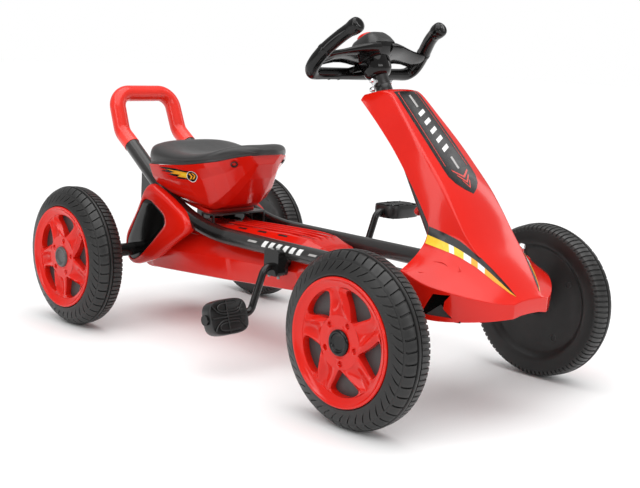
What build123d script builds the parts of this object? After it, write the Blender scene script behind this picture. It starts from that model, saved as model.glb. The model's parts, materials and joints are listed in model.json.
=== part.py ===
from build123d import *
import os
from math import asin, atan2, cos, hypot, pi, radians, sin, tan

# Pedal go kart for a small child, as an assembly of separate pieces.
# Millimetres, +Z up, nose towards -Y, the rider's left is +X, the tyres stand on Z = 0.
# The kart is drawn with its axles at axle_height, then lifted so that tyres of another radius reach the floor.

# ---- overall layout
wheelbase = 690.0
overall_width = 496.0
nose_overhang = 130.0
tyre_radius = 122.5
tyre_width = 54.6
axle_height = 122.5
front_axle_y = (nose_overhang - wheelbase - tyre_radius) / 2
rear_axle_y = front_axle_y + wheelbase
tyre_inner_x = overall_width / 2 - tyre_width

# ---- clearances
running = 0.06
gap = 0.4
rolling_gap = 0.5

# ---- frame tubes
rail_radius = 14.0
rail_wall = 2.0
rail_x = 73.0
rail_z = 182.0
rail_slope = 33.5
rail_corner_ahead = 144.6
rail_bend_radius = 370.0
hoop_radius = 15.0
hoop_joint_x = 65.0
hoop_joint_behind = 46.0
hoop_elbow_behind = 79.0
hoop_top_behind = 107.0
hoop_top_z = 400.0
hoop_top_x = 63.0
hoop_corner_radius = 30.0
beam_radius = 12.5
beam_bore = 10.5

# ---- steering geometry
kingpin_x = 150.0
kingpin_radius = 5.0
sleeve_radius = 10.0
sleeve_height = 40.0
rake = 60.0
column_behind = 15.0
column_radius = 6.0
head_tube_radius = 12.5
head_tube_bore = 9.5
head_tube_low = -14.0
head_tube_high = 232.0
knuckle_arm = 40.0
column_arm = 39.0
arm_width = 20.0
arm_thickness = 5.0
bar_thickness = 5.0
knuckle_arm_z = 132.0
tie_bolt_radius = 4.0
open_pivot_slack = 0.5

# ---- wheels
wheel_bush_radius = 9.0
wheel_hub_overhang = 3.4
wheel_wall = 3.0
rim_seat_radius = 88.6
rim_wall = 3.0
spoke_count = 5
vent_count = 4
vent_radius = 4.0
vent_circle = 65.0

# ---- drive train
chain_pitch = 12.7
roller_radius = 3.2
tooth_gap_radius = 4.1
tooth_reach = 1.5
chain_width = 7.0
ring_teeth = 15
sprocket_teeth = 13
crank_ahead = 391.3
crank_z = 158.0
crank_throw = 70.0
crank_rod_radius = 6.0
pedal_inner_x = 153.0
pedal_width = 74.0
pedal_length = 56.0
pedal_thickness = 24.0
right_pedal_tilt = 72.0
rear_axle_radius = 6.0
axle_spacer_radius = 12.0
crank_y = rear_axle_y - crank_ahead
crank_block_inner_x = rail_x + 5
crank_block_outer_x = rail_x + 27

# ---- covers and seat
cover_wall = 2.5
case_split_z = 168.0
case_half = rail_x - rail_radius - 3.0
shaft_hole = 8.5
fairing_wall = 2.5
seat_wall = 3.0
rear_bracket = (75.0, 228.0)
front_bracket = (175.0, 207.0)
pod_outer_x = 95.0
pod_inner_x = 69.0

# ---- steering wheel, along the column from the middle of the front beam
wheel_plane = 373.0
grip_radius = 10.0
grip_half_width = 112.0
grip_tip_x = 91.0
grip_tip_forward = 70.0
rim_drop = 26.0
socket_low = 296.0
socket_radius = 12.5
pad_top = 388.0
button_radius = 14.0
button_travel = 4.0


def ahead(distance):
    """Y of a station that lies this far ahead of the rear axle."""
    return rear_axle_y - distance


def behind_front(distance):
    """Y of a station that lies this far behind the front axle."""
    return front_axle_y + distance


def column_frame():
    """Origin where the column passes the height of the rails, Z up the column, Y down and rearward."""
    along = (0, cos(radians(rake)), sin(radians(rake)))
    return Plane(origin=(0, behind_front(column_behind), rail_z), x_dir=(1, 0, 0), z_dir=along)


def x_cylinder(radius, x0, x1, y, z):
    """A cylinder lying along X from x0 to x1."""
    start = Plane(origin=(x0, y, z), z_dir=(1, 0, 0))
    return extrude(start * Circle(radius), amount=x1 - x0)


def z_cylinder(radius, x, y, z0, z1):
    """A cylinder standing along Z from z0 to z1."""
    return extrude(Plane.XY.offset(z0) * Pos(x, y) * Circle(radius), amount=z1 - z0)


def block(x0, x1, y0, y1, z0, z1):
    """A box between two opposite corners."""
    middle = Pos((x0 + x1) / 2, (y0 + y1) / 2, (z0 + z1) / 2)
    return middle * Box(x1 - x0, y1 - y0, z1 - z0)


def both_sides(shape):
    """The shape and its mirror image across the middle of the kart."""
    return [shape, mirror(shape, about=Plane.YZ)]


def group(shapes):
    """Separate solids that share one node."""
    solids = []
    for shape in shapes:
        solids.extend(shape.solids())
    return Compound(children=solids)


def swept_rod(points, radii, outer, inner=0.0):
    """A rod or tube along straight runs joined by arcs."""
    path = FilletPolyline(*points, radius=radii)
    start = Plane(origin=path @ 0, z_dir=path % 0)
    section = start * Circle(outer)
    if inner > 0:
        section = section - start * Circle(inner)
    return sweep(section, path=path)


def hull(stations):
    """A solid through mirrored outlines, each a Y and half an outline of (x, z) from the top down."""
    faces = []
    for y, half in stations:
        left = [(x, y, z) for x, z in half]
        right = [(-x, y, z) for x, z in reversed(half)]
        faces.append(make_face(Polyline(*left, *right, close=True)))
    return loft(faces, ruled=True)


def lined_hull(stations, wall, drop, roof=1.3):
    """A hull with its inside taken out, open where the last point of each half outline lies."""
    inner = []
    for y, half in stations:
        inside = [(max(x - wall, 1.0), z - wall * roof) for x, z in half[:-1]]
        last_x, last_z = half[-1]
        inside.append((max(last_x - wall, 1.0), last_z - drop))
        inner.append((y, inside))
    return inner


# ------------------------------------------------------------------ frame

def rail_points():
    top_z = rail_z + (hoop_joint_behind + rail_corner_ahead) * tan(radians(rail_slope))
    top = (hoop_joint_x, ahead(-hoop_joint_behind), top_z)
    corner = (rail_x, ahead(rail_corner_ahead), rail_z)
    front = (rail_x, front_axle_y, rail_z)
    return [top, corner, front]


def left_rail_volume(radius):
    """The space of the left rail as a solid rod of the given radius."""
    return swept_rod(rail_points(), rail_bend_radius, radius)


def make_side_tube():
    tube = swept_rod(rail_points(), rail_bend_radius, rail_radius, rail_radius - rail_wall)
    beam = x_cylinder(beam_radius, 0, kingpin_x, front_axle_y, rail_z)
    front_stub = block(0, kingpin_x, front_axle_y - 30, front_axle_y, rail_z - 30, rail_z + 30)
    return tube - beam - front_stub


def make_backrest_hoop():
    rise = tan(radians(rail_slope))
    joint_z = rail_points()[0][2]
    elbow_z = joint_z + (hoop_elbow_behind - hoop_joint_behind) * rise
    half = [
        (hoop_joint_x, ahead(-hoop_joint_behind) + gap, joint_z + gap * rise),
        (hoop_joint_x, ahead(-hoop_elbow_behind), elbow_z),
        (hoop_top_x, ahead(-hoop_top_behind), hoop_top_z),
    ]
    other = [(-x, y, z) for x, y, z in reversed(half)]
    elbow = 2 * hoop_radius
    radii = [elbow, hoop_corner_radius, hoop_corner_radius, elbow]
    return swept_rod(half + other, radii, hoop_radius, hoop_radius - rail_wall)


def head_tube_space(radius, low, high):
    """A round rod along the steering column."""
    upward = (Align.CENTER, Align.CENTER, Align.MIN)
    return column_frame() * Pos(0, 0, low) * Cylinder(radius, high - low, align=upward)


def make_front_beam():
    beam = x_cylinder(beam_radius, -kingpin_x, kingpin_x, front_axle_y, rail_z)
    bore_end = kingpin_x - sleeve_radius
    beam -= x_cylinder(beam_bore, -bore_end, bore_end, front_axle_y, rail_z)
    for side in (-1, 1):
        low = rail_z - sleeve_height / 2
        top = rail_z + sleeve_height / 2
        sleeve = z_cylinder(sleeve_radius, side * kingpin_x, front_axle_y, low, top)
        bore = z_cylinder(kingpin_radius + running, side * kingpin_x, front_axle_y, 0, 2 * rail_z)
        end = block(kingpin_x, kingpin_x + 20, front_axle_y - 20, front_axle_y + 20, low, top)
        if side < 0:
            end = mirror(end, about=Plane.YZ)
        beam = (beam - end) + sleeve - bore
    return beam - head_tube_space(head_tube_radius, -60, 60)


def make_steering_stem():
    tube = head_tube_space(head_tube_radius, head_tube_low, head_tube_high)
    ear = column_frame() * Pos(0, -18, 150) * Box(20, 18, 40)
    return (tube + ear) - head_tube_space(head_tube_bore, head_tube_low - 10, head_tube_high + 10)


def make_column_bushes():
    flange = 1.5
    depth = 22.0
    low = head_tube_space(head_tube_bore, head_tube_low, head_tube_low + depth)
    low += head_tube_space(head_tube_radius, head_tube_low - flange, head_tube_low)
    high = head_tube_space(head_tube_bore, head_tube_high - depth, head_tube_high)
    high += head_tube_space(head_tube_radius, head_tube_high, head_tube_high + flange)
    bore = head_tube_space(column_radius + running, head_tube_low - 20, head_tube_high + 20)
    return group([low - bore, high - bore])


def rail_height(distance):
    """Height of the rail's centre line at a station ahead of the rear axle."""
    tangent = rail_bend_radius * tan(radians(rail_slope) / 2)
    end = rail_corner_ahead + tangent
    start = rail_corner_ahead - tangent * cos(radians(rail_slope))
    if distance >= end:
        return rail_z
    if distance <= start:
        return rail_z + (rail_corner_ahead - distance) * tan(radians(rail_slope))
    across = end - distance
    return rail_z + rail_bend_radius - (rail_bend_radius**2 - across**2) ** 0.5


def make_seat_brackets():
    """Two folded cross channels between the rails, which the seat is screwed to."""
    half = rail_x - rail_radius
    plates = []
    for distance, plate_z in (front_bracket, rear_bracket):
        y = ahead(distance)
        low = rail_height(distance) - 3
        channel = block(-half, half, y - 17, y + 17, low, plate_z + 3)
        channel -= block(-half + 3, half - 3, y - 20, y + 20, low - 1, plate_z)
        channel -= block(-half - 1, half + 1, y - 14, y + 14, low - 1, plate_z)
        for rail in both_sides(left_rail_volume(rail_radius)):
            channel -= rail
        plates.append(channel)
    return group(plates)


def make_axle_plates():
    """A hanger on each rail that carries a rear axle bush."""
    x0 = rail_x - 9
    x1 = rail_x - 5
    top_ahead = 45.0
    outline = [
        (ahead(-14), axle_height),
        (ahead(-14), axle_height - 8),
        (ahead(0), axle_height - 18),
        (ahead(14), axle_height - 8),
        (ahead(top_ahead), rail_height(top_ahead)),
        (ahead(0), rail_height(0)),
        (ahead(-10), rail_height(0) - 6),
    ]
    corners = [(x0, y, z) for y, z in outline]
    plate = extrude(make_face(Polyline(*corners, close=True)), amount=x1 - x0, dir=(1, 0, 0))
    plate -= x_cylinder(11, x0 - 1, x1 + 1, rear_axle_y, axle_height)
    plate -= left_rail_volume(rail_radius)
    plate = max(plate.solids(), key=lambda solid: solid.volume)
    return group(both_sides(plate))


def make_axle_bushes():
    x0 = rail_x - 9
    bush = x_cylinder(11, x0, x0 + 12, rear_axle_y, axle_height)
    bush += x_cylinder(14, x0 + 4, x0 + 12, rear_axle_y, axle_height)
    bush -= x_cylinder(rear_axle_radius + running, x0 - 5, x0 + 20, rear_axle_y, axle_height)
    return group(both_sides(bush))


def make_crank_blocks():
    """Split bearing blocks that hang under the rails and hold the crank."""
    x0 = crank_block_inner_x
    x1 = crank_block_outer_x
    block_half = 17.0
    low = crank_z - 15
    body = block(x0, x1, crank_y - block_half, crank_y + block_half, low, rail_z + 4)
    body = fillet(body.edges().filter_by(Axis.X), 7)
    bore = x_cylinder(crank_rod_radius + running, x0 - 5, x1 + 5, crank_y, crank_z)
    body = body - bore - left_rail_volume(rail_radius)
    return group(both_sides(body))


# ------------------------------------------------------------------ seat

def seat_stations():
    """Half outlines of the seat shell, rear to front: top edge, flank, lower edge."""
    return [
        (ahead(24), [(66, 277), (64, 268), (56, 258)]),
        (ahead(55), [(98, 286), (90, 268), (62, 236)]),
        (ahead(120), [(98, 290), (88, 270), (60, 224)]),
        (ahead(175), [(94, 297), (78, 270), (50, 213)]),
        (ahead(212), [(86, 303), (64, 275), (34, 229)]),
        (ahead(245), [(56, 314), (44, 302), (26, 276)]),
        (ahead(256), [(34, 318), (28, 312), (18, 303)]),
    ]


def make_seat_body():
    outer = hull(seat_stations())
    inner = lined_hull(seat_stations()[1:-1], seat_wall, 14, roof=1.6)
    shell = outer - hull(inner)
    for rail in both_sides(left_rail_volume(rail_radius + gap)):
        shell -= rail
    return max(shell.solids(), key=lambda solid: solid.volume)


def pad_stations():
    """Half outlines of the pad, rear to front: top near the middle, upper edge, side, lower edge."""
    return [
        (ahead(30), [(30, 319), (54, 314), (66, 300), (66, 281)]),
        (ahead(55), [(34, 327), (84, 320), (100, 304), (98, 287)]),
        (ahead(120), [(34, 310), (84, 312), (99, 302), (98, 291)]),
        (ahead(175), [(34, 309), (80, 315), (95, 308), (94, 298)]),
        (ahead(210), [(34, 322), (70, 325), (87, 314), (86, 304)]),
        (ahead(232), [(24, 337), (50, 334), (68, 322), (68, 310)]),
        (ahead(251), [(16, 333), (32, 330), (44, 325), (44, 317.4)]),
        (ahead(262), [(10, 329), (18, 327), (25, 324), (25, 319.5)]),
    ]


def make_seat_pad():
    pad = hull(pad_stations())
    raised = [(y, [(x, z + 0.2) for x, z in half]) for y, half in seat_stations()]
    pad -= hull(raised)
    return max(pad.solids(), key=lambda solid: solid.volume)


# ------------------------------------------------------------------ covers

def belly_stations():
    """Half outlines of the lower chain case: split line, crease, bottom edge."""
    top = (case_half, case_split_z)
    return [
        (ahead(0), [top, (62, 126), (56, 88)]),
        (ahead(56), [top, (68, 130), (58, 86)]),
        (ahead(243), [top, (72, 143), (60, 102)]),
        (ahead(419), [top, (72, 150), (58, 115)]),
        (ahead(442), [(case_half - 6, case_split_z), (58, 150), (42, 130)]),
    ]


def shaft_holes():
    """Clearance holes for the crank and the rear axle."""
    wide = overall_width / 2
    crank = x_cylinder(shaft_hole, -wide, wide, crank_y, crank_z)
    axle = x_cylinder(shaft_hole, -wide, wide, rear_axle_y, axle_height)
    return [crank, axle]


def make_chain_case_lower():
    lobe_radius = axle_height - 86
    lobe = x_cylinder(lobe_radius, -56, 56, rear_axle_y, axle_height)
    space_half = 56 - cover_wall
    lobe_space = x_cylinder(lobe_radius - cover_wall, -space_half, space_half, rear_axle_y, axle_height)
    stations = belly_stations()
    inner = []
    for index, (y, half) in enumerate(stations):
        shift = -cover_wall if index == len(stations) - 1 else 0
        (x0, z0), (x1, z1), (x2, z2) = half
        points = [(x0 - cover_wall, z0 + 2), (x1 - cover_wall, z1), (x2 - cover_wall, z2 + cover_wall)]
        inner.append((y - shift, points))
    tray = hull(stations) + lobe
    tray = tray - hull(inner) - lobe_space
    for hole in shaft_holes():
        tray -= hole
    return tray


def tunnel_stations():
    """Half outlines of the upper chain case: roof, shoulder, split line."""
    edge = (case_half, case_split_z)
    return [
        (ahead(45), [(34, 171), (48, 170), edge]),
        (ahead(100), [(34, 185), (50, 178), edge]),
        (ahead(166), [(34, 189), (51, 182), edge]),
        (ahead(252), [(34, 194), (51, 184), edge]),
        (ahead(349), [(34, 198.5), (51, 186), edge]),
        (ahead(402), [(34, 197.5), (50, 186), edge]),
        (ahead(431), [(28, 189), (44, 182), edge]),
        (ahead(442), [(24, 182), (38, 176), (case_half - 6, case_split_z)]),
    ]


def make_chain_case_upper():
    stations = tunnel_stations()
    inner = lined_hull(stations[1:-1], cover_wall, 2, roof=1.0)
    cap = hull(stations) - hull(inner)
    for rail in both_sides(left_rail_volume(rail_radius + 0.2)):
        cap -= rail
    return max(cap.solids(), key=lambda solid: solid.volume)


def pod_outline(shift):
    """Corners of a rear pod's side face, drawn in by the shift towards its middle."""
    corners = [(59, 251), (45, 241), (-21, 138), (-14, 99), (15, 94), (182, 184)]
    middle_ahead = sum(a for a, z in corners) / len(corners)
    middle_z = sum(z for a, z in corners) / len(corners)
    outline = []
    for a, z in corners:
        reach = hypot(a - middle_ahead, z - middle_z)
        keep = 1 - shift / reach
        y = ahead(middle_ahead + (a - middle_ahead) * keep)
        outline.append((y, middle_z + (z - middle_z) * keep))
    return outline


def pod_loft(sections):
    """A solid through pod outlines, each given as an X and a shift."""
    faces = []
    for x, shift in sections:
        corners = [(x, y, z) for y, z in pod_outline(shift)]
        faces.append(make_face(Polyline(*corners, close=True)))
    return loft(faces, ruled=True)


def pod_cheek(shift, x0, x1):
    """A slab in the outline of a pod's side face."""
    corners = [(x0, y, z) for y, z in pod_outline(shift)]
    return extrude(make_face(Polyline(*corners, close=True)), amount=x1 - x0, dir=(1, 0, 0))


def make_left_pod():
    shoulder_x = pod_outer_x - 9
    outer = pod_loft([(pod_inner_x, 14), (shoulder_x, 0), (pod_outer_x, 9)])
    mouth = (pod_inner_x - 1, 14 + cover_wall)
    inner = pod_loft([mouth, (shoulder_x, cover_wall + 1.5), (pod_outer_x - 4.5, 11)])
    pod = outer - inner - pod_cheek(20, pod_outer_x - 1.5, pod_outer_x + 1)
    pod -= left_rail_volume(rail_radius + 0.2)
    pod -= x_cylinder(axle_spacer_radius + 2, 0, overall_width, rear_axle_y, axle_height)
    case = hull(belly_stations())
    pod = pod - case
    return max(pod.solids(), key=lambda solid: solid.volume)


def make_pod_insets():
    inset = pod_cheek(20.4, pod_outer_x - 1.5, pod_outer_x - 0.3)
    inset -= x_cylinder(axle_spacer_radius + 2, 0, overall_width, rear_axle_y, axle_height)
    return group(both_sides(inset))


def hood_stations():
    """Half outlines of the hood, top to foot: front ridge, flank, rear edge."""
    return [
        (behind_front(166), [(44, 437), (47, 434), (50, 430)]),
        (behind_front(126), [(34, 448), (44, 422), (52, 395)]),
        (behind_front(90), [(40, 412), (49, 387), (55, 362)]),
        (behind_front(53), [(48, 376), (55, 350), (60, 325)]),
        (behind_front(13), [(49, 336), (58, 308), (67, 281)]),
        (behind_front(-4), [(50.5, 318), (60, 288), (71, 262)]),
        (behind_front(-20), [(51, 297), (61, 276), (68, 254)]),
    ]


def wing_stations():
    """Half outlines of the wings and nose: front ridge, shoulder, wing ridge, bottom edge."""
    return [
        (behind_front(2), [(50, 312), (70, 267), (125, 211), (116, 150)]),
        (behind_front(-20), [(51, 297), (68, 254), (126, 203), (115, 145)]),
        (behind_front(-60), [(47, 245), (63, 226), (125, 191), (112, 140)]),
        (behind_front(-85), [(45.5, 222), (58, 213), (119, 194), (100, 140)]),
        (behind_front(-107), [(38, 200), (50, 196), (90, 181), (78, 148)]),
        (behind_front(-124), [(31, 181), (36, 180), (50, 175), (46, 163)]),
        (behind_front(-nose_overhang), [(24, 177), (27, 176.5), (36, 174), (34, 169)]),
    ]


def make_front_fairing():
    hood = hull(hood_stations())
    wings = hull(wing_stations())
    hood_space = hull(lined_hull(hood_stations()[1:], fairing_wall, 30, roof=1.5))
    wing_space = hull(lined_hull(wing_stations()[:-1], fairing_wall, 30, roof=1.5))
    wing_mouth = lined_hull(wing_stations()[:1], fairing_wall, 30, roof=1.5)[0]
    open_rear = hull([(behind_front(6), wing_mouth[1]), (behind_front(2), wing_mouth[1])])
    shell = (hood + wings) - hood_space - wing_space - open_rear
    shell -= block(-30, 30, behind_front(124), behind_front(190), 380, 480)
    beam_front = behind_front(-beam_radius)
    beam_notch = block(60, kingpin_x, beam_front, behind_front(20), 164, rail_z + beam_radius)
    rail_notch = block(40, 100, beam_front - 3, behind_front(40), 150, rail_z + rail_radius + 2)
    window = block(90, 140, behind_front(-78), behind_front(-36), 151, 184)
    for cut in (beam_notch, rail_notch, window):
        shell = shell - cut - mirror(cut, about=Plane.YZ)
    return max(shell.solids(), key=lambda solid: solid.volume)


def make_intake_insets():
    """Black grille plates behind the side openings of the fairing."""
    first = lined_hull(wing_stations()[1:4], fairing_wall, 30, roof=1.5)
    second = lined_hull(wing_stations()[1:4], fairing_wall + 2, 30, roof=2.1)
    slab = hull(first) - hull(second)
    plate = slab & block(60, 140, behind_front(-81), behind_front(-33), 149, 187)
    plate = max(plate.solids(), key=lambda solid: solid.volume)
    return group(both_sides(plate))


def make_fairing_bracket():
    """A strap from the stem to the inside of the hood, with the knob that holds it."""
    here = column_frame()
    strap = here * Pos(0, -57, 150) * Box(20, 60, 3)
    inside = hull(lined_hull(hood_stations()[1:], fairing_wall, 30, roof=1.5))
    return strap & inside


def make_frame_screws():
    """Screws under the crank blocks, through the seat brackets and in the chain case."""
    screws = []
    for side in (-1, 1):
        for offset in (-11, 11):
            x = side * (rail_x + 20)
            shank = z_cylinder(2.5, x, crank_y + offset, crank_z - 19, crank_z - 15)
            screws.append(shank)
    for distance, plate_z in (front_bracket, rear_bracket):
        for x in (-30, 30):
            screws.append(z_cylinder(5, x, ahead(distance), plate_z - 3, plate_z))
    return group(screws)


# ------------------------------------------------------------------ steering

def make_steering_column():
    bend = 10.0
    arm_at = -28.0
    pin_end = -46.0
    points = [
        (0, 0, wheel_plane - 8),
        (0, 0, arm_at),
        (0, column_arm, arm_at),
        (0, column_arm, pin_end),
    ]
    here = column_frame()
    placed = [here.from_local_coords(Vector(*point)) for point in points]
    return swept_rod(placed, bend, column_radius)


def rim_points():
    """Right half of the rim: grip tip, grip, lower corner and bottom bar."""
    return [
        (grip_tip_x, -grip_tip_forward, wheel_plane),
        (grip_half_width - 4, -14, wheel_plane - 10),
        (grip_half_width, 34, wheel_plane - rim_drop),
    ]


def make_steering_wheel():
    here = column_frame()
    half = rim_points()
    other = [(-x, y, z) for x, y, z in reversed(half)]
    placed = [here.from_local_coords(Vector(*point)) for point in half + other]
    rim = swept_rod(placed, [60, 24, 24, 60], grip_radius)
    for x, y, z in (half[0], other[-1]):
        rim += here * Pos(x, y, z) * Sphere(grip_radius)
    hub = Pos(0, 0, -14) * Cylinder(34, 16)
    for side in (-1, 1):
        hub += Pos(side * 62, 0, -15) * Box(80, 38, 9)
    dome = Pos(0, 0, -30) * Cylinder(22, 20)
    socket_length = wheel_plane - socket_low
    socket = Pos(0, 0, -socket_length / 2 - 10) * Cylinder(socket_radius, socket_length - 20)
    hub = hub + dome + socket
    hub -= Pos(0, 0, -socket_length / 2) * Cylinder(column_radius, socket_length)
    wheel = rim + here * Pos(0, 0, wheel_plane) * hub
    bolt_space = here * Pos(0, 0, socket_low + 20) * Rot(0, 90, 0) * Cylinder(3, 60)
    return wheel - bolt_space


def make_hub_cover():
    here = column_frame()
    low = wheel_plane - 6
    cover = here * Pos(0, -4, (low + pad_top) / 2) * Box(56, 58, pad_top - low)
    recess = here * Pos(0, 0, pad_top) * Cylinder(button_radius + gap, 2 * (pad_top - low - 3))
    return cover - recess


def make_wheel_bolt():
    here = column_frame() * Pos(0, 0, socket_low + 20)
    bolt = Rot(0, 90, 0) * Cylinder(3, 2 * socket_radius + 8)
    for side in (-1, 1):
        bolt += Pos(side * (socket_radius + 3), 0, 0) * Rot(0, 90, 0) * Cylinder(5, 5)
    bolt -= Cylinder(column_radius, 40)
    return here * bolt


def recess_floor():
    """Height of the recess under the horn button along the column."""
    return wheel_plane - 3


def spring_height():
    return button_travel + 2


def make_horn_button():
    here = column_frame()
    base = recess_floor() + spring_height()
    height = pad_top + 8 - base
    button = Cylinder(button_radius, height, align=(Align.CENTER, Align.CENTER, Align.MIN))
    button = fillet(button.edges().group_by(Axis.Z)[-1], 3)
    return here * Pos(0, 0, base) * button


def make_horn_spring():
    here = column_frame()
    floor = recess_floor()
    height = spring_height()
    wire = 0.6
    coil_radius = 8.0
    helix = Helix(pitch=(height - 2 * wire) / 2, height=height - 2 * wire, radius=coil_radius)
    start = Plane(origin=helix @ 0, z_dir=helix % 0)
    spring = sweep(start * Circle(wire), path=helix, is_frenet=True)
    return here * Pos(0, 0, floor + wire) * spring


def make_stub_axle(side):
    """Kingpin, steering arm and wheel spindle of one front wheel."""
    top = rail_z + sleeve_height / 2 + 12
    tip = overall_width / 2 - 7
    points = [
        (kingpin_x, front_axle_y, top),
        (kingpin_x, front_axle_y, axle_height),
        (tip, front_axle_y, axle_height),
    ]
    stub = swept_rod(points, kingpin_radius + 3, kingpin_radius)
    half = arm_width / 2
    arm_top = knuckle_arm_z + arm_thickness
    arm_end = behind_front(knuckle_arm)
    arm = block(kingpin_x - half, kingpin_x + half, front_axle_y, arm_end, knuckle_arm_z, arm_top)
    for y in (front_axle_y, arm_end):
        arm += z_cylinder(half, kingpin_x, y, knuckle_arm_z, arm_top)
    slack = running if side < 0 else open_pivot_slack
    arm -= z_cylinder(tie_bolt_radius + slack, kingpin_x, arm_end, 0, rail_z)
    spacer_top = rail_z - sleeve_height / 2 - 0.3
    spacer = z_cylinder(kingpin_radius + 3, kingpin_x, front_axle_y, arm_top, spacer_top)
    collar_end = tyre_inner_x - wheel_hub_overhang - gap
    collar = x_cylinder(kingpin_radius + 3.5, collar_end - 14, collar_end, front_axle_y, axle_height)
    stub = stub + arm + spacer + collar
    return mirror(stub, about=Plane.YZ) if side < 0 else stub


def make_knuckle_nuts(side):
    """The domed nut on top of the kingpin and the nut that keeps the wheel on."""
    seat = rail_z + sleeve_height / 2 + 0.3
    washer = z_cylinder(10, kingpin_x, front_axle_y, seat, seat + 1.2)
    above = Plane.XY.offset(seat + 1.2) * Pos(kingpin_x, front_axle_y)
    nut = extrude(above * RegularPolygon(9, 6), amount=9)
    dome = Pos(kingpin_x, front_axle_y, seat + 10.2) * Sphere(7.5)
    nut = washer + nut + (dome & block(0, 400, -1000, 1000, seat + 10, seat + 40))
    nut -= z_cylinder(kingpin_radius, kingpin_x, front_axle_y, 0, rail_z + sleeve_height / 2 + 12)
    x0 = tyre_inner_x + tyre_width - 16 + 0.3
    outer = Plane(origin=(x0, front_axle_y, axle_height), z_dir=(1, 0, 0))
    spindle_nut = extrude(outer * RegularPolygon(8.5, 6), amount=7)
    spindle_nut -= x_cylinder(kingpin_radius, 0, overall_width, front_axle_y, axle_height)
    nuts = group([nut, spindle_nut])
    return mirror(nuts, about=Plane.YZ) if side < 0 else nuts


def tie_bar_top():
    return knuckle_arm_z - rolling_gap


def make_tie_bar():
    top = tie_bar_top()
    low = top - bar_thickness
    y = behind_front(knuckle_arm)
    half = arm_width / 2
    bar = block(-kingpin_x, kingpin_x, y - half, y + half, low, top)
    for side in (-1, 1):
        bar += z_cylinder(half, side * kingpin_x, y, low, top)
        bar -= z_cylinder(tie_bolt_radius, side * kingpin_x, y, low - 1, top + 1)
    drop = (rail_z - (low + top) / 2 - column_arm * cos(radians(rake))) / sin(radians(rake))
    pin_behind = column_behind - drop * cos(radians(rake)) + column_arm * sin(radians(rake))
    reach = column_radius / sin(radians(rake))
    lug_front = behind_front(pin_behind - reach - 10)
    bar += block(-16, 16, lug_front, y + half + 4, low, top)
    slot_half = column_radius + 0.4
    slot_front = behind_front(pin_behind - reach - 4)
    slot_rear = behind_front(pin_behind + reach + 4)
    bar -= block(-slot_half, slot_half, slot_front, slot_rear, low - 1, top + 1)
    return bar


def make_tie_bar_bolts():
    low = tie_bar_top() - bar_thickness
    arm_top = knuckle_arm_z + arm_thickness
    y = behind_front(knuckle_arm)
    bolts = []
    for side in (-1, 1):
        x = side * kingpin_x
        bolt = z_cylinder(tie_bolt_radius, x, y, low - 4, arm_top + gap)
        bolt += extrude(Plane.XY.offset(low - 4) * Pos(x, y) * RegularPolygon(7.5, 6), amount=4)
        bolt += extrude(Plane.XY.offset(arm_top + gap) * Pos(x, y) * RegularPolygon(7.5, 6), amount=5)
        bolts.append(bolt)
    return group(bolts)


# ------------------------------------------------------------------ wheels, axle along +X, inner face at 0

def place_wheel(shape, side, y):
    placed = Pos(tyre_inner_x, y, axle_height) * shape
    return mirror(placed, about=Plane.YZ) if side < 0 else placed


def revolved(profile):
    corners = [(x, r, 0) for x, r in profile]
    return revolve(make_face(Polyline(*corners, close=True)), axis=Axis.X)


def make_tyre():
    """Blow-moulded tyre and disc in one hollow piece."""
    width = tyre_width
    top = tyre_radius
    lip = rim_seat_radius
    hub = wheel_bush_radius
    outside = [
        (-wheel_hub_overhang, hub), (-wheel_hub_overhang, 17), (10, 20), (12, 30), (12, lip - 5),
        (2, lip + 2), (0, lip + 8), (0, top - 14), (3, top - 8), (9, top - 2.8), (17, top),
        (25, top), (33, top - 3), (42, top - 11.5), (width - 5, top - 23.5),
        (width - 2.6, lip + 5.4), (width - 2.6, lip), (40, lip), (36, lip - 5), (36, 22),
        (width - 16, 17), (width - 16, hub),
    ]
    wall = wheel_wall
    inside = [
        (12 + wall, 26), (12 + wall, lip - 3), (2 + wall, lip + 4), (wall, lip + 9),
        (wall, top - 16), (3 + wall, top - 11), (9 + wall, top - 6), (17 + wall / 2, top - wall),
        (24, top - wall), (31, top - 6), (39, top - 14), (width - 8, top - 25.5),
        (width - 5.6, lip + 4.5), (width - 5.6, lip + wall), (38.5, lip + wall),
        (33, lip - 2.5), (33, 26),
    ]
    tyre = revolved(outside) - revolved(inside)
    for index in range(vent_count):
        angle = 2 * pi * index / vent_count + pi / 4
        y = vent_circle * cos(angle)
        z = vent_circle * sin(angle)
        tyre -= x_cylinder(vent_radius, 5, 12 + wall + 1, y, z)
    return tyre


def window_face(x):
    """One swirled opening between two spokes, drawn at a given X."""
    inner_radius = 37.0
    outer_radius = 72.0
    swirl = 24.0
    inner_half = 17.0
    outer_half = 24.0
    rows = []
    for radius, half, turn in (
        (inner_radius, inner_half, 0.0),
        ((inner_radius + outer_radius) / 2, (inner_half + outer_half) / 2, swirl * 0.4),
        (outer_radius, outer_half, swirl),
    ):
        low = radians(turn - half)
        high = radians(turn + half)
        near = (radius * cos(low), radius * sin(low))
        far = (radius * cos(high), radius * sin(high))
        rows.append((near, far))
    first = [row[0] for row in rows]
    second = [row[1] for row in reversed(rows)]
    corners = [(x, y, z) for y, z in first + second]
    return make_face(Polyline(*corners, close=True))


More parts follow.
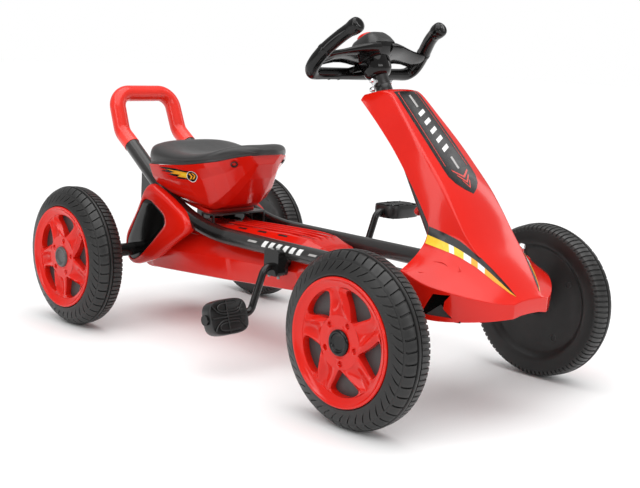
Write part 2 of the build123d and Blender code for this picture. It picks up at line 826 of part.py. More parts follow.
def make_rim_cover():
    width = tyre_width
    lip = rim_seat_radius
    wall = rim_wall
    profile = [
        (40.2, lip), (width, lip), (width, lip - 4), (width - 5.5, lip - 9.5), (46.5, lip - 18),
        (46.5, 34), (width - 3.6, 26), (width - 3.6, 13), (width - 3.6 - wall, 13),
        (width - 3.6 - wall, 24.5), (46.5 - wall, 32.5), (46.5 - wall, lip - 17),
        (width - 9, lip - 8), (width - 5, lip - wall), (40.2, lip - wall),
    ]
    cover = revolved(profile)
    for index in range(spoke_count):
        window = extrude(window_face(40), amount=12, dir=(1, 0, 0))
        cover -= Rot(360 / spoke_count * index, 0, 0) * window
    return cover


def make_hub_cap():
    width = tyre_width
    profile = [
        (width - 3.6, 20), (width - 1.4, 19), (width, 15), (width, 0), (width - 2, 0), (width - 2, 11),
        (width - 10, 11), (width - 10, 13), (width - 3.6, 13),
    ]
    return revolved(profile)


def make_hub_bush(radius):
    x0 = -wheel_hub_overhang
    bush = x_cylinder(wheel_bush_radius, x0, tyre_width - 16, 0, 0)
    return bush - x_cylinder(radius + running, x0 - 1, tyre_width, 0, 0)


# ------------------------------------------------------------------ drive train

def pitch_radius(teeth):
    return chain_pitch / (2 * sin(pi / teeth))


def chain_centres():
    """Distance from the crank to the rear axle."""
    return hypot(crank_z - axle_height, crank_ahead)


def chain_lean():
    """Angle between the chain's straight runs and the line through the two shafts."""
    return asin((pitch_radius(ring_teeth) - pitch_radius(sprocket_teeth)) / chain_centres())


def chain_line_frame():
    """X runs from the crank back to the axle, Y up and across, in the middle plane of the kart."""
    line = atan2(crank_z - axle_height, crank_ahead)
    towards = (0, cos(line), -sin(line))
    return Plane(origin=(0, crank_y, crank_z), x_dir=towards, z_dir=(-1, 0, 0))


def chain_loop(shift, width):
    """A closed band at a distance from the pitch line, centred on the middle plane."""
    distance = chain_centres()
    lean = chain_lean()
    big = pitch_radius(ring_teeth) + shift
    small = pitch_radius(sprocket_teeth) + shift
    up_big = (big * sin(lean), big * cos(lean))
    up_small = (distance + small * sin(lean), small * cos(lean))
    top = Line(up_big, up_small)
    rear = ThreePointArc(up_small, (distance + small, 0), (up_small[0], -up_small[1]))
    bottom = Line((up_small[0], -up_small[1]), (up_big[0], -up_big[1]))
    front = ThreePointArc((up_big[0], -up_big[1]), (-big, 0), up_big)
    face = make_face([top, rear, bottom, front])
    return extrude(chain_line_frame() * face, amount=width / 2, both=True)


def roller_places():
    """Middle of every roller along the loop, in the frame of the chain line."""
    distance = chain_centres()
    places = []
    for teeth, middle, facing in ((ring_teeth, 0.0, pi), (sprocket_teeth, distance, 0.0)):
        radius = pitch_radius(teeth)
        step = 2 * pi / teeth
        wrap = pi / 2 - chain_lean()
        count = round(wrap / step)
        for index in range(-count, count + 1):
            angle = facing + index * step
            places.append((middle + radius * cos(angle), radius * sin(angle)))
    wrapped = list(places)
    for flip in (1, -1):
        near = [place for place in wrapped if place[0] < distance / 2]
        far = [place for place in wrapped if place[0] > distance / 2]
        first = max(near, key=lambda place: place[1] * flip)
        last = max(far, key=lambda place: place[1] * flip)
        links = round(hypot(last[0] - first[0], last[1] - first[1]) / chain_pitch)
        for index in range(1, links):
            share = index / links
            x = first[0] + (last[0] - first[0]) * share
            places.append((x, first[1] + (last[1] - first[1]) * share))
    return places


def make_drive_chain():
    side_plate = 1.0
    half_height = 4.0
    band = chain_loop(half_height, chain_width) - chain_loop(-half_height, chain_width + 2)
    plates = []
    for side in (-1, 1):
        middle = side * (chain_width - side_plate) / 2
        slab = block(middle - side_plate / 2, middle + side_plate / 2, -1000, 1000, -1000, 1000)
        plates.append(band & slab)
    frame = chain_line_frame()
    inner_width = chain_width - 2 * side_plate
    rollers = []
    for x, y in roller_places():
        rollers.append(frame * Pos(x, y, 0) * Cylinder(roller_radius, inner_width))
    return group(plates + rollers)


def toothed_wheel(teeth, facing, bore):
    """A sprocket whose tooth gaps face along the chain line."""
    radius = pitch_radius(teeth)
    thickness = 4.0
    wheel = Cylinder(radius + tooth_reach, thickness)
    for index in range(teeth):
        angle = facing + 2 * pi * index / teeth
        wheel -= Pos(radius * cos(angle), radius * sin(angle), 0) * Cylinder(tooth_gap_radius, thickness + 1)
    wheel += Cylinder(bore + 5, thickness + 8)
    return wheel - Cylinder(bore, thickness + 20)


def make_chainring():
    return chain_line_frame() * toothed_wheel(ring_teeth, pi, crank_rod_radius)


def make_rear_sprocket():
    sprocket = toothed_wheel(sprocket_teeth, 0.0, rear_axle_radius)
    return chain_line_frame() * Pos(chain_centres(), 0, 0) * sprocket


def make_crank_rod():
    """One bent rod: pedal spindles at both ends, left pedal up and right pedal down."""
    bend = 16.0
    bend_room = 13.0
    tip = pedal_inner_x + pedal_width + 3
    knee = pedal_inner_x - bend_room
    inner = crank_block_outer_x + bend_room
    points = [
        (tip, crank_y, crank_z + crank_throw),
        (knee, crank_y, crank_z + crank_throw),
        (inner, crank_y, crank_z),
        (-inner, crank_y, crank_z),
        (-knee, crank_y, crank_z - crank_throw),
        (-tip, crank_y, crank_z - crank_throw),
    ]
    return swept_rod(points, bend, crank_rod_radius)


def make_pedal(side):
    outline = RectangleRounded(pedal_width, pedal_length, 20)
    body = extrude(outline, amount=pedal_thickness / 2, both=True)
    rims = body.edges().group_by(Axis.Z)[0] + body.edges().group_by(Axis.Z)[-1]
    body = fillet(rims, 5)
    body -= Rot(0, 90, 0) * Cylinder(crank_rod_radius + running, pedal_width + 10)
    tilt = right_pedal_tilt if side < 0 else 0
    x = side * (pedal_inner_x + pedal_width / 2)
    return Pos(x, crank_y, crank_z + side * crank_throw) * Rot(tilt, 0, 0) * body


def make_pedal_caps():
    caps = []
    for side in (-1, 1):
        x = side * (pedal_inner_x + pedal_width + gap)
        z = crank_z + side * crank_throw
        cap = x_cylinder(8, x, x + side * 4, crank_y, z)
        tip = pedal_inner_x + pedal_width + 3
        cap -= x_cylinder(crank_rod_radius, -tip, tip, crank_y, z)
        caps.append(cap)
    return group(caps)


def make_rear_axle():
    tip = overall_width / 2 - 7
    return x_cylinder(rear_axle_radius, -tip, tip, rear_axle_y, axle_height)


def make_axle_spacers():
    end = tyre_inner_x - wheel_hub_overhang - gap
    spacer = x_cylinder(axle_spacer_radius, rail_x + 4, end, rear_axle_y, axle_height)
    spacer -= x_cylinder(rear_axle_radius, 0, overall_width, rear_axle_y, axle_height)
    return group(both_sides(spacer))


def make_rear_axle_nuts():
    x0 = tyre_inner_x + tyre_width - 16 + 0.3
    outer = Plane(origin=(x0, rear_axle_y, axle_height), z_dir=(1, 0, 0))
    nut = extrude(outer * RegularPolygon(9.5, 6), amount=7)
    nut -= x_cylinder(rear_axle_radius, 0, overall_width, rear_axle_y, axle_height)
    return group(both_sides(nut))


# ------------------------------------------------------------------ the whole kart

def build_kart():
    parts = {}
    side_tube = make_side_tube()
    left_pod = make_left_pod()
    parts["side_tube_left"] = side_tube
    parts["side_tube_right"] = mirror(side_tube, about=Plane.YZ)
    parts["backrest_hoop"] = make_backrest_hoop()
    parts["front_beam"] = make_front_beam()
    parts["steering_stem"] = make_steering_stem()
    parts["column_bushes"] = make_column_bushes()
    parts["seat_brackets"] = make_seat_brackets()
    parts["rear_axle_plates"] = make_axle_plates()
    parts["rear_axle_bushes"] = make_axle_bushes()
    parts["crank_bearing_blocks"] = make_crank_blocks()
    parts["frame_screws"] = make_frame_screws()
    parts["seat_body"] = make_seat_body()
    parts["seat_pad"] = make_seat_pad()
    parts["chain_case_upper"] = make_chain_case_upper()
    parts["chain_case_lower"] = make_chain_case_lower()
    parts["rear_pod_left"] = left_pod
    parts["rear_pod_right"] = mirror(left_pod, about=Plane.YZ)
    parts["pod_insets"] = make_pod_insets()
    parts["front_fairing"] = make_front_fairing()
    parts["intake_insets"] = make_intake_insets()
    parts["fairing_bracket"] = make_fairing_bracket()
    parts["steering_column"] = make_steering_column()
    parts["steering_wheel"] = make_steering_wheel()
    parts["wheel_hub_cover"] = make_hub_cover()
    parts["wheel_bolt"] = make_wheel_bolt()
    parts["horn_button"] = make_horn_button()
    parts["horn_spring"] = make_horn_spring()
    parts["tie_bar"] = make_tie_bar()
    parts["tie_bar_bolts"] = make_tie_bar_bolts()
    tyre = make_tyre()
    rim_cover = make_rim_cover()
    hub_cap = make_hub_cap()
    axles = (("front", front_axle_y, kingpin_radius), ("rear", rear_axle_y, rear_axle_radius))
    for side, hand in ((1, "left"), (-1, "right")):
        parts[f"stub_axle_{hand}"] = make_stub_axle(side)
        parts[f"knuckle_nuts_{hand}"] = make_knuckle_nuts(side)
        parts[f"pedal_{hand}"] = make_pedal(side)
        for end, y, shaft in axles:
            parts[f"tyre_{end}_{hand}"] = place_wheel(tyre, side, y)
            parts[f"rim_cover_{end}_{hand}"] = place_wheel(rim_cover, side, y)
            parts[f"hub_cap_{end}_{hand}"] = place_wheel(hub_cap, side, y)
            driven = end == "rear" and hand == "left"
            bush_bore = shaft - running if driven else shaft
            parts[f"hub_bush_{end}_{hand}"] = place_wheel(make_hub_bush(bush_bore), side, y)
    parts["crank_rod"] = make_crank_rod()
    parts["chainring"] = make_chainring()
    parts["pedal_caps"] = make_pedal_caps()
    parts["drive_chain"] = make_drive_chain()
    parts["rear_axle"] = make_rear_axle()
    parts["rear_sprocket"] = make_rear_sprocket()
    parts["axle_spacers"] = make_axle_spacers()
    parts["rear_axle_nuts"] = make_rear_axle_nuts()
    return parts


os.makedirs("parts", exist_ok=True)
lift = Pos(0, 0, tyre_radius - axle_height)
for name, shape in build_kart().items():
    export_step(lift * shape, f"parts/{name}.step")
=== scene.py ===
import json
import math
import bpy
import bmesh
from mathutils import Matrix, Vector
from mathutils.bvhtree import BVHTree


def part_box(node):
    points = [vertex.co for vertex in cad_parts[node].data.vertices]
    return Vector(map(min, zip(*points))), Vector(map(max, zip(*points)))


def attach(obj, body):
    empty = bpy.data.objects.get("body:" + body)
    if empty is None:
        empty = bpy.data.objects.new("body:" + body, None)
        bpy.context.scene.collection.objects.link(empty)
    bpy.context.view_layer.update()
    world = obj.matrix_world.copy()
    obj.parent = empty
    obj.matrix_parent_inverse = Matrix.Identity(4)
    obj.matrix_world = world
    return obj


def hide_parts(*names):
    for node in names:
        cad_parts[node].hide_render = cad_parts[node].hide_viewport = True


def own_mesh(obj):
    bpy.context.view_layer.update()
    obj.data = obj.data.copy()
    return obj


# The looks of a child's pedal go kart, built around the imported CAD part.
# Metres in the frame's own axes; MM turns the millimetres used for small features into metres.

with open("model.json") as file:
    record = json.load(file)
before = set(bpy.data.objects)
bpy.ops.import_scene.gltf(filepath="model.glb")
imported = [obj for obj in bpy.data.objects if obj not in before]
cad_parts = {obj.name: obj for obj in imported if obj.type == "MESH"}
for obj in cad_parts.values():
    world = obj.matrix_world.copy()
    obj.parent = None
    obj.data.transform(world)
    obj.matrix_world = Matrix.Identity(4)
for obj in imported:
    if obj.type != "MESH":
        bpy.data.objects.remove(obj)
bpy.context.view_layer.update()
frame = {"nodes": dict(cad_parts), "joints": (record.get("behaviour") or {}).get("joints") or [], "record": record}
MM = 0.001


# ------------------------------------------------------------------ places read from the frame

def middle(node):
    low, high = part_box(node)
    return (low + high) / 2


def joint(name):
    return next(j for j in frame["joints"] if j["name"] == name)


TYRE_LOW, TYRE_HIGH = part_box("tyre_front_left")
TYRE_RADIUS = (TYRE_HIGH.z - TYRE_LOW.z) / 2 / MM
WHEEL_DEPTH = 54.6
TYRE_INNER_X = TYRE_HIGH.x / MM - WHEEL_DEPTH
FRONT_Y = middle("tyre_front_left").y / MM
REAR_Y = middle("tyre_rear_left").y / MM
AXLE_Z = TYRE_RADIUS
RAIL_RADIUS = 14.0
RAIL_X = 73.0
RAIL_Z = 182.0


def axes_frame(origin, z_axis):
    """A frame with Z along the axis and X across the kart."""
    z = Vector(z_axis).normalized()
    x = Vector((1, 0, 0))
    y = z.cross(x)
    rotation = Matrix((x, y, z)).transposed().to_4x4()
    return Matrix.Translation(Vector(origin)) @ rotation


COLUMN = axes_frame(joint("steer")["pos_m"], joint("steer")["axis"])


def ahead(distance):
    """Y in mm of a place this far ahead of the rear axle."""
    return REAR_Y - distance


def behind_front(distance):
    """Y in mm of a place this far behind the front axle."""
    return FRONT_Y + distance


# ------------------------------------------------------------------ materials

class Nodes:
    """A short way to write a node tree."""

    def __init__(self, name):
        self.material = bpy.data.materials.new(name)
        self.material.use_nodes = True
        self.tree = self.material.node_tree
        self.tree.nodes.clear()
        self.shader = self.add("ShaderNodeBsdfPrincipled")
        output = self.add("ShaderNodeOutputMaterial")
        self.link(self.shader.outputs["BSDF"], output.inputs["Surface"])
        self.place = self.add("ShaderNodeTexCoord").outputs["Object"]

    def add(self, kind, **settings):
        node = self.tree.nodes.new(kind)
        for key, value in settings.items():
            setattr(node, key, value)
        return node

    def link(self, output, socket):
        self.tree.links.new(output, socket)

    def noise(self, scale, detail=3.0, rough=0.55, stretch=None):
        node = self.add("ShaderNodeTexNoise")
        node.inputs["Scale"].default_value = scale
        node.inputs["Detail"].default_value = detail
        node.inputs["Roughness"].default_value = rough
        source = self.place
        if stretch:
            mapping = self.add("ShaderNodeMapping")
            mapping.inputs["Scale"].default_value = stretch
            self.link(source, mapping.inputs["Vector"])
            source = mapping.outputs["Vector"]
        self.link(source, node.inputs["Vector"])
        return node.outputs["Fac"]

    def voronoi(self, scale, feature="F1"):
        node = self.add("ShaderNodeTexVoronoi", feature=feature)
        node.inputs["Scale"].default_value = scale
        self.link(self.place, node.inputs["Vector"])
        return node.outputs["Distance"]

    def spread(self, value, low, high, from_low=0.3, from_high=0.7):
        node = self.add("ShaderNodeMapRange")
        node.inputs["From Min"].default_value = from_low
        node.inputs["From Max"].default_value = from_high
        node.inputs["To Min"].default_value = low
        node.inputs["To Max"].default_value = high
        self.link(value, node.inputs["Value"])
        return node.outputs["Result"]

    def drift(self, scale, detail, one, two):
        """A slow change from one colour to the other."""
        return self.mix(self.spread(self.noise(scale, detail), 0.0, 1.0), one, two)

    def colour(self, output):
        self.link(output, self.shader.inputs["Base Color"])

    def roughness(self, low, high, *noise_settings):
        self.link(self.spread(self.noise(*noise_settings), low, high), self.shader.inputs["Roughness"])

    def mix(self, fac, one, two):
        node = self.add("ShaderNodeMix", data_type="RGBA")
        self.link(fac, node.inputs["Factor"])
        for socket, value in ((node.inputs[6], one), (node.inputs[7], two)):
            if isinstance(value, tuple):
                socket.default_value = (*value, 1.0)
            else:
                self.link(value, socket)
        return node.outputs[2]

    def bump(self, height, strength, distance):
        node = self.add("ShaderNodeBump")
        node.inputs["Strength"].default_value = strength
        node.inputs["Distance"].default_value = distance
        self.link(height, node.inputs["Height"])
        if self.shader.inputs["Normal"].is_linked:
            before = self.shader.inputs["Normal"].links[0].from_socket
            self.link(before, node.inputs["Normal"])
        self.link(node.outputs["Normal"], self.shader.inputs["Normal"])

    def edge_wear(self):
        """1 on sharp outer edges, 0 elsewhere."""
        geometry = self.add("ShaderNodeNewGeometry")
        return self.spread(geometry.outputs["Pointiness"], 0.0, 1.0, 0.52, 0.6)

    def set(self, **values):
        for key, value in values.items():
            self.shader.inputs[key.replace("_", " ")].default_value = value


def moulded_plastic(name, colour, shade, rough, coat=0.0, grain=0.0, wear=0.25, ior=1.5):
    """Injection-moulded plastic: slight colour drift, handling marks in the gloss, paler rubbed edges."""
    n = Nodes(name)
    base = n.drift(9.0, 4.0, colour, shade)
    pale = tuple(min(1.0, c * 1.25 + 0.02) for c in colour)
    worn = n.add("ShaderNodeMath", operation="MULTIPLY")
    n.link(n.edge_wear(), worn.inputs[0])
    worn.inputs[1].default_value = wear
    n.colour(n.mix(worn.outputs[0], base, pale))
    n.roughness(rough * 0.8, rough * 1.3, 55.0, 6.0, 0.65)
    if grain > 0:
        n.bump(n.noise(1400.0, 2.0), grain, 0.0002)
    n.bump(n.noise(28.0, 2.0), 0.06, 0.0006)
    n.set(IOR=ior, Coat_Weight=coat, Coat_Roughness=0.06)
    return n.material


def tyre_plastic():
    """Blow-moulded black plastic: satin, scuffed on the blocks."""
    n = Nodes("tyre_plastic")
    base = n.drift(14.0, 5.0, (0.004, 0.004, 0.004), (0.009, 0.0085, 0.008))
    n.colour(n.mix(n.edge_wear(), base, (0.03, 0.029, 0.028)))
    n.roughness(0.34, 0.52, 70.0, 6.0, 0.7)
    n.bump(n.noise(900.0, 3.0), 0.12, 0.0003)
    n.bump(n.noise(60.0, 3.0), 0.10, 0.0006)
    n.set(IOR=1.5)
    return n.material


def seat_vinyl():
    """Soft satin vinyl with a fine leather grain."""
    n = Nodes("seat_vinyl")
    n.colour(n.drift(11.0, 4.0, (0.016, 0.0155, 0.0155), (0.025, 0.024, 0.024)))
    n.roughness(0.33, 0.46, 42.0, 5.0)
    n.bump(n.voronoi(620.0), 0.16, 0.0003)
    n.bump(n.noise(1800.0, 2.0), 0.08, 0.0002)
    n.set(IOR=1.48, Sheen_Weight=0.12, Sheen_Roughness=0.4)
    return n.material


def coated_tube(name, colour, shade, rough, coat):
    """Powder-coated steel tube with orange peel in the coat."""
    n = Nodes(name)
    base = n.drift(8.0, 3.0, colour, shade)
    pale = tuple(min(1.0, c * 1.4 + 0.03) for c in colour)
    n.colour(n.mix(n.edge_wear(), base, pale))
    n.roughness(rough * 0.75, rough * 1.3, 80.0, 5.0)
    n.bump(n.noise(520.0, 2.0), 0.10, 0.0003)
    n.set(IOR=1.42, Coat_Weight=coat, Coat_Roughness=0.08)
    return n.material


def bright_metal(name, colour, rough, stretch):
    """Plated or bare metal with fine drawing marks."""
    n = Nodes(name)
    dull = tuple(c * 0.72 for c in colour)
    n.colour(n.drift(18.0, 4.0, colour, dull))
    n.roughness(rough * 0.6, rough * 1.6, 260.0, 5.0, 0.6, stretch)
    n.bump(n.noise(420.0, 3.0, 0.6, stretch), 0.05, 0.0002)
    n.set(Metallic=1.0)
    return n.material


def printed_film(name, colour, shade, rough=0.22):
    """A printed vinyl sticker with a slight ink mottle."""
    n = Nodes(name)
    n.colour(n.drift(120.0, 4.0, colour, shade))
    n.roughness(rough * 0.8, rough * 1.4, 90.0, 5.0)
    n.bump(n.noise(700.0, 2.0), 0.04, 0.0002)
    n.set(IOR=1.4, Coat_Weight=0.1, Coat_Roughness=0.1)
    return n.material


RED = moulded_plastic("red_gloss_plastic", (0.66, 0.011, 0.004), (0.60, 0.009, 0.004), 0.15,
                      coat=0.1, ior=1.38)
HOOP_RED = coated_tube("hoop_red_coat", (0.78, 0.026, 0.014), (0.72, 0.022, 0.012), 0.2, 0.15)
BLACK_GLOSS = moulded_plastic("black_gloss_plastic", (0.002, 0.0018, 0.0018), (0.004, 0.0036, 0.0036),
                              0.08, coat=0.08, ior=1.36)
BLACK_SATIN = moulded_plastic("black_satin_plastic", (0.008, 0.008, 0.008), (0.013, 0.0125, 0.0125), 0.32,
                              grain=0.1)
GREY_CAP = moulded_plastic("grey_cap_plastic", (0.055, 0.053, 0.052), (0.075, 0.072, 0.07), 0.32, grain=0.1)
DISC_GREY = moulded_plastic("disc_grey_plastic", (0.040, 0.037, 0.037), (0.052, 0.048, 0.048), 0.46,
                            grain=0.15)
TYRE = tyre_plastic()
VINYL = seat_vinyl()
FRAME_BLACK = coated_tube("frame_black_coat", (0.004, 0.0035, 0.003), (0.007, 0.006, 0.006), 0.2, 0.12)
NYLON = moulded_plastic("nylon_black", (0.02, 0.02, 0.021), (0.03, 0.03, 0.03), 0.4, grain=0.1)
CHROME = bright_metal("chrome_plate", (0.82, 0.83, 0.85), 0.09, (1, 1, 4))
STEEL = bright_metal("oiled_steel", (0.38, 0.37, 0.36), 0.3, (1, 6, 1))
FILM_BLACK = printed_film("film_black", (0.004, 0.0035, 0.0035), (0.009, 0.008, 0.008))
FILM_WHITE = printed_film("film_white", (0.80, 0.80, 0.79), (0.72, 0.72, 0.71))
FILM_GREY = printed_film("film_grey", (0.36, 0.35, 0.34), (0.42, 0.41, 0.40))
FILM_YELLOW = printed_film("film_yellow", (0.86, 0.56, 0.03), (0.80, 0.50, 0.02))
FILM_ORANGE = printed_film("film_orange", (0.84, 0.36, 0.02), (0.78, 0.32, 0.02))
FILM_RED = printed_film("film_red", (0.62, 0.05, 0.04), (0.55, 0.04, 0.03))


# ------------------------------------------------------------------ mesh tools

def build(name, points, faces, material, smooth=40.0):
    """A mesh object from points in mm and faces."""
    mesh = bpy.data.meshes.new(name)
    mesh.from_pydata([Vector(p) * MM for p in points], [], faces)
    bm = bmesh.new()
    bm.from_mesh(mesh)
    bmesh.ops.remove_doubles(bm, verts=bm.verts, dist=0.02 * MM)
    bmesh.ops.dissolve_degenerate(bm, edges=bm.edges, dist=0.005 * MM)
    bmesh.ops.recalc_face_normals(bm, faces=bm.faces)
    bm.to_mesh(mesh)
    bm.free()
    mesh.validate()
    obj = bpy.data.objects.new(name, mesh)
    bpy.context.scene.collection.objects.link(obj)
    mesh.materials.append(material)
    shade(obj, smooth)
    return obj


def shade(obj, angle):
    obj.data.shade_smooth()
    obj.data.set_sharp_from_angle(angle=math.radians(angle))


def apply_modifiers(obj, angle=40.0):
    """Bakes the modifiers into the mesh."""
    bpy.context.view_layer.update()
    depsgraph = bpy.context.evaluated_depsgraph_get()
    mesh = bpy.data.meshes.new_from_object(obj.evaluated_get(depsgraph))
    obj.modifiers.clear()
    obj.data = mesh
    shade(obj, angle)
    return obj


def subdivide(obj, levels=2):
    modifier = obj.modifiers.new("subdivide", "SUBSURF")
    modifier.levels = levels
    modifier.render_levels = levels
    modifier.boundary_smooth = "PRESERVE_CORNERS"
    return obj


def thicken(obj, thickness, offset=-1.0):
    modifier = obj.modifiers.new("thicken", "SOLIDIFY")
    modifier.thickness = thickness * MM
    modifier.offset = offset
    modifier.use_even_offset = True
    return obj


def soften(obj, width, segments=3, angle=35.0):
    modifier = obj.modifiers.new("soften", "BEVEL")
    modifier.width = width * MM
    modifier.segments = segments
    modifier.limit_method = "ANGLE"
    modifier.angle_limit = math.radians(angle)
    modifier.harden_normals = False
    return obj


def crease(obj, chosen):
    """Creases each edge by the amount that chosen(point one, point two) gives, in mm."""
    layer = obj.data.attributes.new("crease_edge", "FLOAT", "EDGE")
    values = []
    for edge in obj.data.edges:
        one, two = (obj.data.vertices[i].co / MM for i in edge.vertices)
        values.append(chosen(one, two))
    layer.data.foreach_set("value", values)
    return obj


def grid(rows, wrap_rows=False, wrap_columns=False):
    """Points and quads of a grid of rows."""
    points = [p for row in rows for p in row]
    height, width = len(rows), len(rows[0])
    faces = []
    for r in range(height if wrap_rows else height - 1):
        for c in range(width if wrap_columns else width - 1):
            r2, c2 = (r + 1) % height, (c + 1) % width
            faces.append((r * width + c, r * width + c2, r2 * width + c2, r2 * width + c))
    return points, faces


def merged(*meshes):
    """Several points-and-faces pairs as one."""
    points, faces = [], []
    for some_points, some_faces in meshes:
        start = len(points)
        points.extend(some_points)
        faces.extend(tuple(i + start for i in face) for face in some_faces)
    return points, faces


def mirrored(mesh):
    """The pair with its mirror image across the middle of the kart."""
    points, faces = mesh
    other = [(-x, y, z) for x, y, z in points]
    return merged(mesh, (other, [tuple(reversed(face)) for face in faces]))


def lathe(profile, segments=128, closed=True):
    """Points and faces of a profile of (x, radius) turned about X."""
    rows = []
    for x, radius in profile:
        row = []
        for index in range(segments):
            angle = 2 * math.pi * index / segments
            row.append((x, radius * math.cos(angle), radius * math.sin(angle)))
        rows.append(row)
    return grid(rows, wrap_rows=closed, wrap_columns=True)


def turned(profile, radius, steps, segments):
    """An open profile turned about X, its corners rounded."""
    return lathe(rounded_profile(profile, radius, steps, closed=False), segments, closed=False)


def rounded_profile(points, radius=0.6, steps=3, closed=True):
    """A profile with each corner rounded by an arc-like curve."""
    count = len(points)
    result = []
    for index in range(count):
        here = Vector(points[index])
        if not closed and index in (0, count - 1):
            result.append(tuple(here))
            continue
        before = Vector(points[index - 1])
        after = Vector(points[(index + 1) % count])
        back = min(radius, (before - here).length * 0.45)
        on = min(radius, (after - here).length * 0.45)
        start = here + (before - here).normalized() * back
        end = here + (after - here).normalized() * on
        for step in range(steps + 1):
            t = step / steps
            result.append(tuple(start * (1 - t) ** 2 + here * 2 * t * (1 - t) + end * t * t))
    return result


def smooth_path(points, steps):
    """A Catmull-Rom line through the points, each with any number of values."""
    path = []
    count = len(points)
    for index in range(count - 1):
        p0 = points[max(index - 1, 0)]
        p1, p2 = points[index], points[index + 1]
        p3 = points[min(index + 2, count - 1)]
        for step in range(steps):
            t = step / steps
            values = []
            for a, b, c, d in zip(p0, p1, p2, p3):
                value = 0.5 * (2 * b + (c - a) * t + (2 * a - 5 * b + 4 * c - d) * t * t
                               + (3 * b - a - 3 * c + d) * t ** 3)
                values.append(value)
            path.append(tuple(values))
    path.append(tuple(points[-1]))
    return path


def tube(path, segments=24, flatten=1.0):
    """Points and faces of a round bar along a path of (x, y, z, radius), closed at both ends."""
    rows = []
    side = None
    for index, (x, y, z, radius) in enumerate(path):
        here = Vector((x, y, z))
        before = Vector(path[max(index - 1, 0)][:3])
        after = Vector(path[min(index + 1, len(path) - 1)][:3])
        along = (after - before).normalized()
        if side is None:
            side = along.orthogonal().normalized()
        side = (side - along * side.dot(along)).normalized()
        up = along.cross(side)
        row = []
        for step in range(segments):
            angle = 2 * math.pi * step / segments
            out = side * math.cos(angle) + up * math.sin(angle) * flatten
            row.append(tuple(here + out * radius))
        rows.append(row)
    points, faces = grid(rows, wrap_columns=True)
    for row, start in ((rows[0], 0), (rows[-1], (len(rows) - 1) * segments)):
        points.append(tuple(sum((Vector(p) for p in row), Vector()) / segments))
        for step in range(segments):
            faces.append((start + step, start + (step + 1) % segments, len(points) - 1))
    return points, faces


def moved(mesh, matrix):
    """The pair's points, in mm, through a matrix in metres."""
    points, faces = mesh
    return [tuple((matrix @ (Vector(p) * MM)) / MM) for p in points], faces


def surface_of(obj):
    depsgraph = bpy.context.evaluated_depsgraph_get()
    return BVHTree.FromObject(obj, depsgraph)


def laid_on(obj, surface, lift, cut=4.0):
    """Presses a flat sticker or relief onto a surface, standing proud by the lift in mm."""
    bm = bmesh.new()
    bm.from_mesh(obj.data)
    bmesh.ops.triangulate(bm, faces=bm.faces)
    longest = cut * MM
    for _ in range(6):
        long_edges = [e for e in bm.edges if e.calc_length() > longest]
        if not long_edges:
            break
        bmesh.ops.subdivide_edges(bm, edges=long_edges, cuts=1)
        bmesh.ops.triangulate(bm, faces=bm.faces)
    for vert in bm.verts:
        spot, normal, _, _ = surface.find_nearest(vert.co)
        if spot is not None:
            vert.co = spot + normal * lift * MM
    bm.to_mesh(obj.data)
    bm.free()
    obj.data.shade_smooth()
    return obj


def fit_out(obj, body, slot, *nodes):
    """Puts a piece on its body and hides the CAD nodes it stands for; the slot is not used."""
    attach(obj, body)
    if nodes:
        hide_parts(*nodes)
    return obj


# ------------------------------------------------------------------ wheels, drawn with the axle along X

BLOCKS = 46
CELL = 2 * math.pi / BLOCKS
COLUMNS = (0.0, 0.05, 0.13, 0.18, 0.34, 0.5, 0.55, 0.63, 0.68, 0.84)
MAIN_GROOVE = (1, 2)
SECOND_GROOVE = (6, 7)


def tread_rows():
    """Rows of (x, radius, groove depth, both grooves or one, turn in cells), from the inner side outwards."""
    top = TYRE_RADIUS
    smooth = [(x, r, 0.0, False, 0.0) for x, r in (
        (-3.4, 9), (-3.4, 17), (8, 20.5), (10.5, 24), (12, 31), (12, 60), (12, 81), (10.5, 84.5), (4, 89.5),
        (1.2, 92.5), (0.2, 96), (0, 101), (0.1, 107), (0.7, 112.0))]
    ribs = [(1.2, 113.8, 1.8, True, 0.0), (3.0, 117.4, 1.8, True, 0.02), (8.0, 120.2, 1.7, True, 0.06),
            (15.0, 121.6, 1.6, True, 0.12), (22.0, 121.9, 1.6, True, 0.16)]
    ridge = [(x, r, 0.0, False, 0.16) for x, r in (
        (23.2, 121.8), (23.9, 120.0), (25.2, 120.0), (26.0, top - 0.2), (26.7, top), (28.6, top),
        (29.4, top - 0.2), (30.2, 119.7), (31.5, 119.6), (32.2, 120.9))]
    blocks = [(32.9, 120.9, 2.0, False, 0.12), (35.6, 119.7, 2.3, False, 0.08),
              (38.6, 117.6, 2.3, False, 0.04), (41.4, 115.0, 2.1, False, 0.0), (43.2, 112.9, 1.9, False, 0.0)]
    step = [(44.0, 111.8, 0.0, False, 0.0), (44.4, 110.2, 0.0, False, 0.0), (45.1, 109.2, 0.0, False, 0.0)]
    lugs = [(45.7, 109.2, 1.4, False, 0.02), (46.9, 106.8, 1.6, False, 0.12), (48.2, 103.9, 1.6, False, 0.28),
            (49.4, 100.9, 1.4, False, 0.50), (50.3, 98.0, 0.9, False, 0.76)]
    bead = [(x, r, 0.0, False, 0.9) for x, r in (
        (50.9, 96.0), (51.7, 94.0), (52.3, 92.0), (52.4, 90.2), (51.4, 88.9), (50.2, 88.5), (41, 88.5),
        (36.6, 84), (36, 80), (36, 24), (38.6, 17), (38.6, 9))]
    return smooth + ribs + ridge + blocks + step + lugs + bead


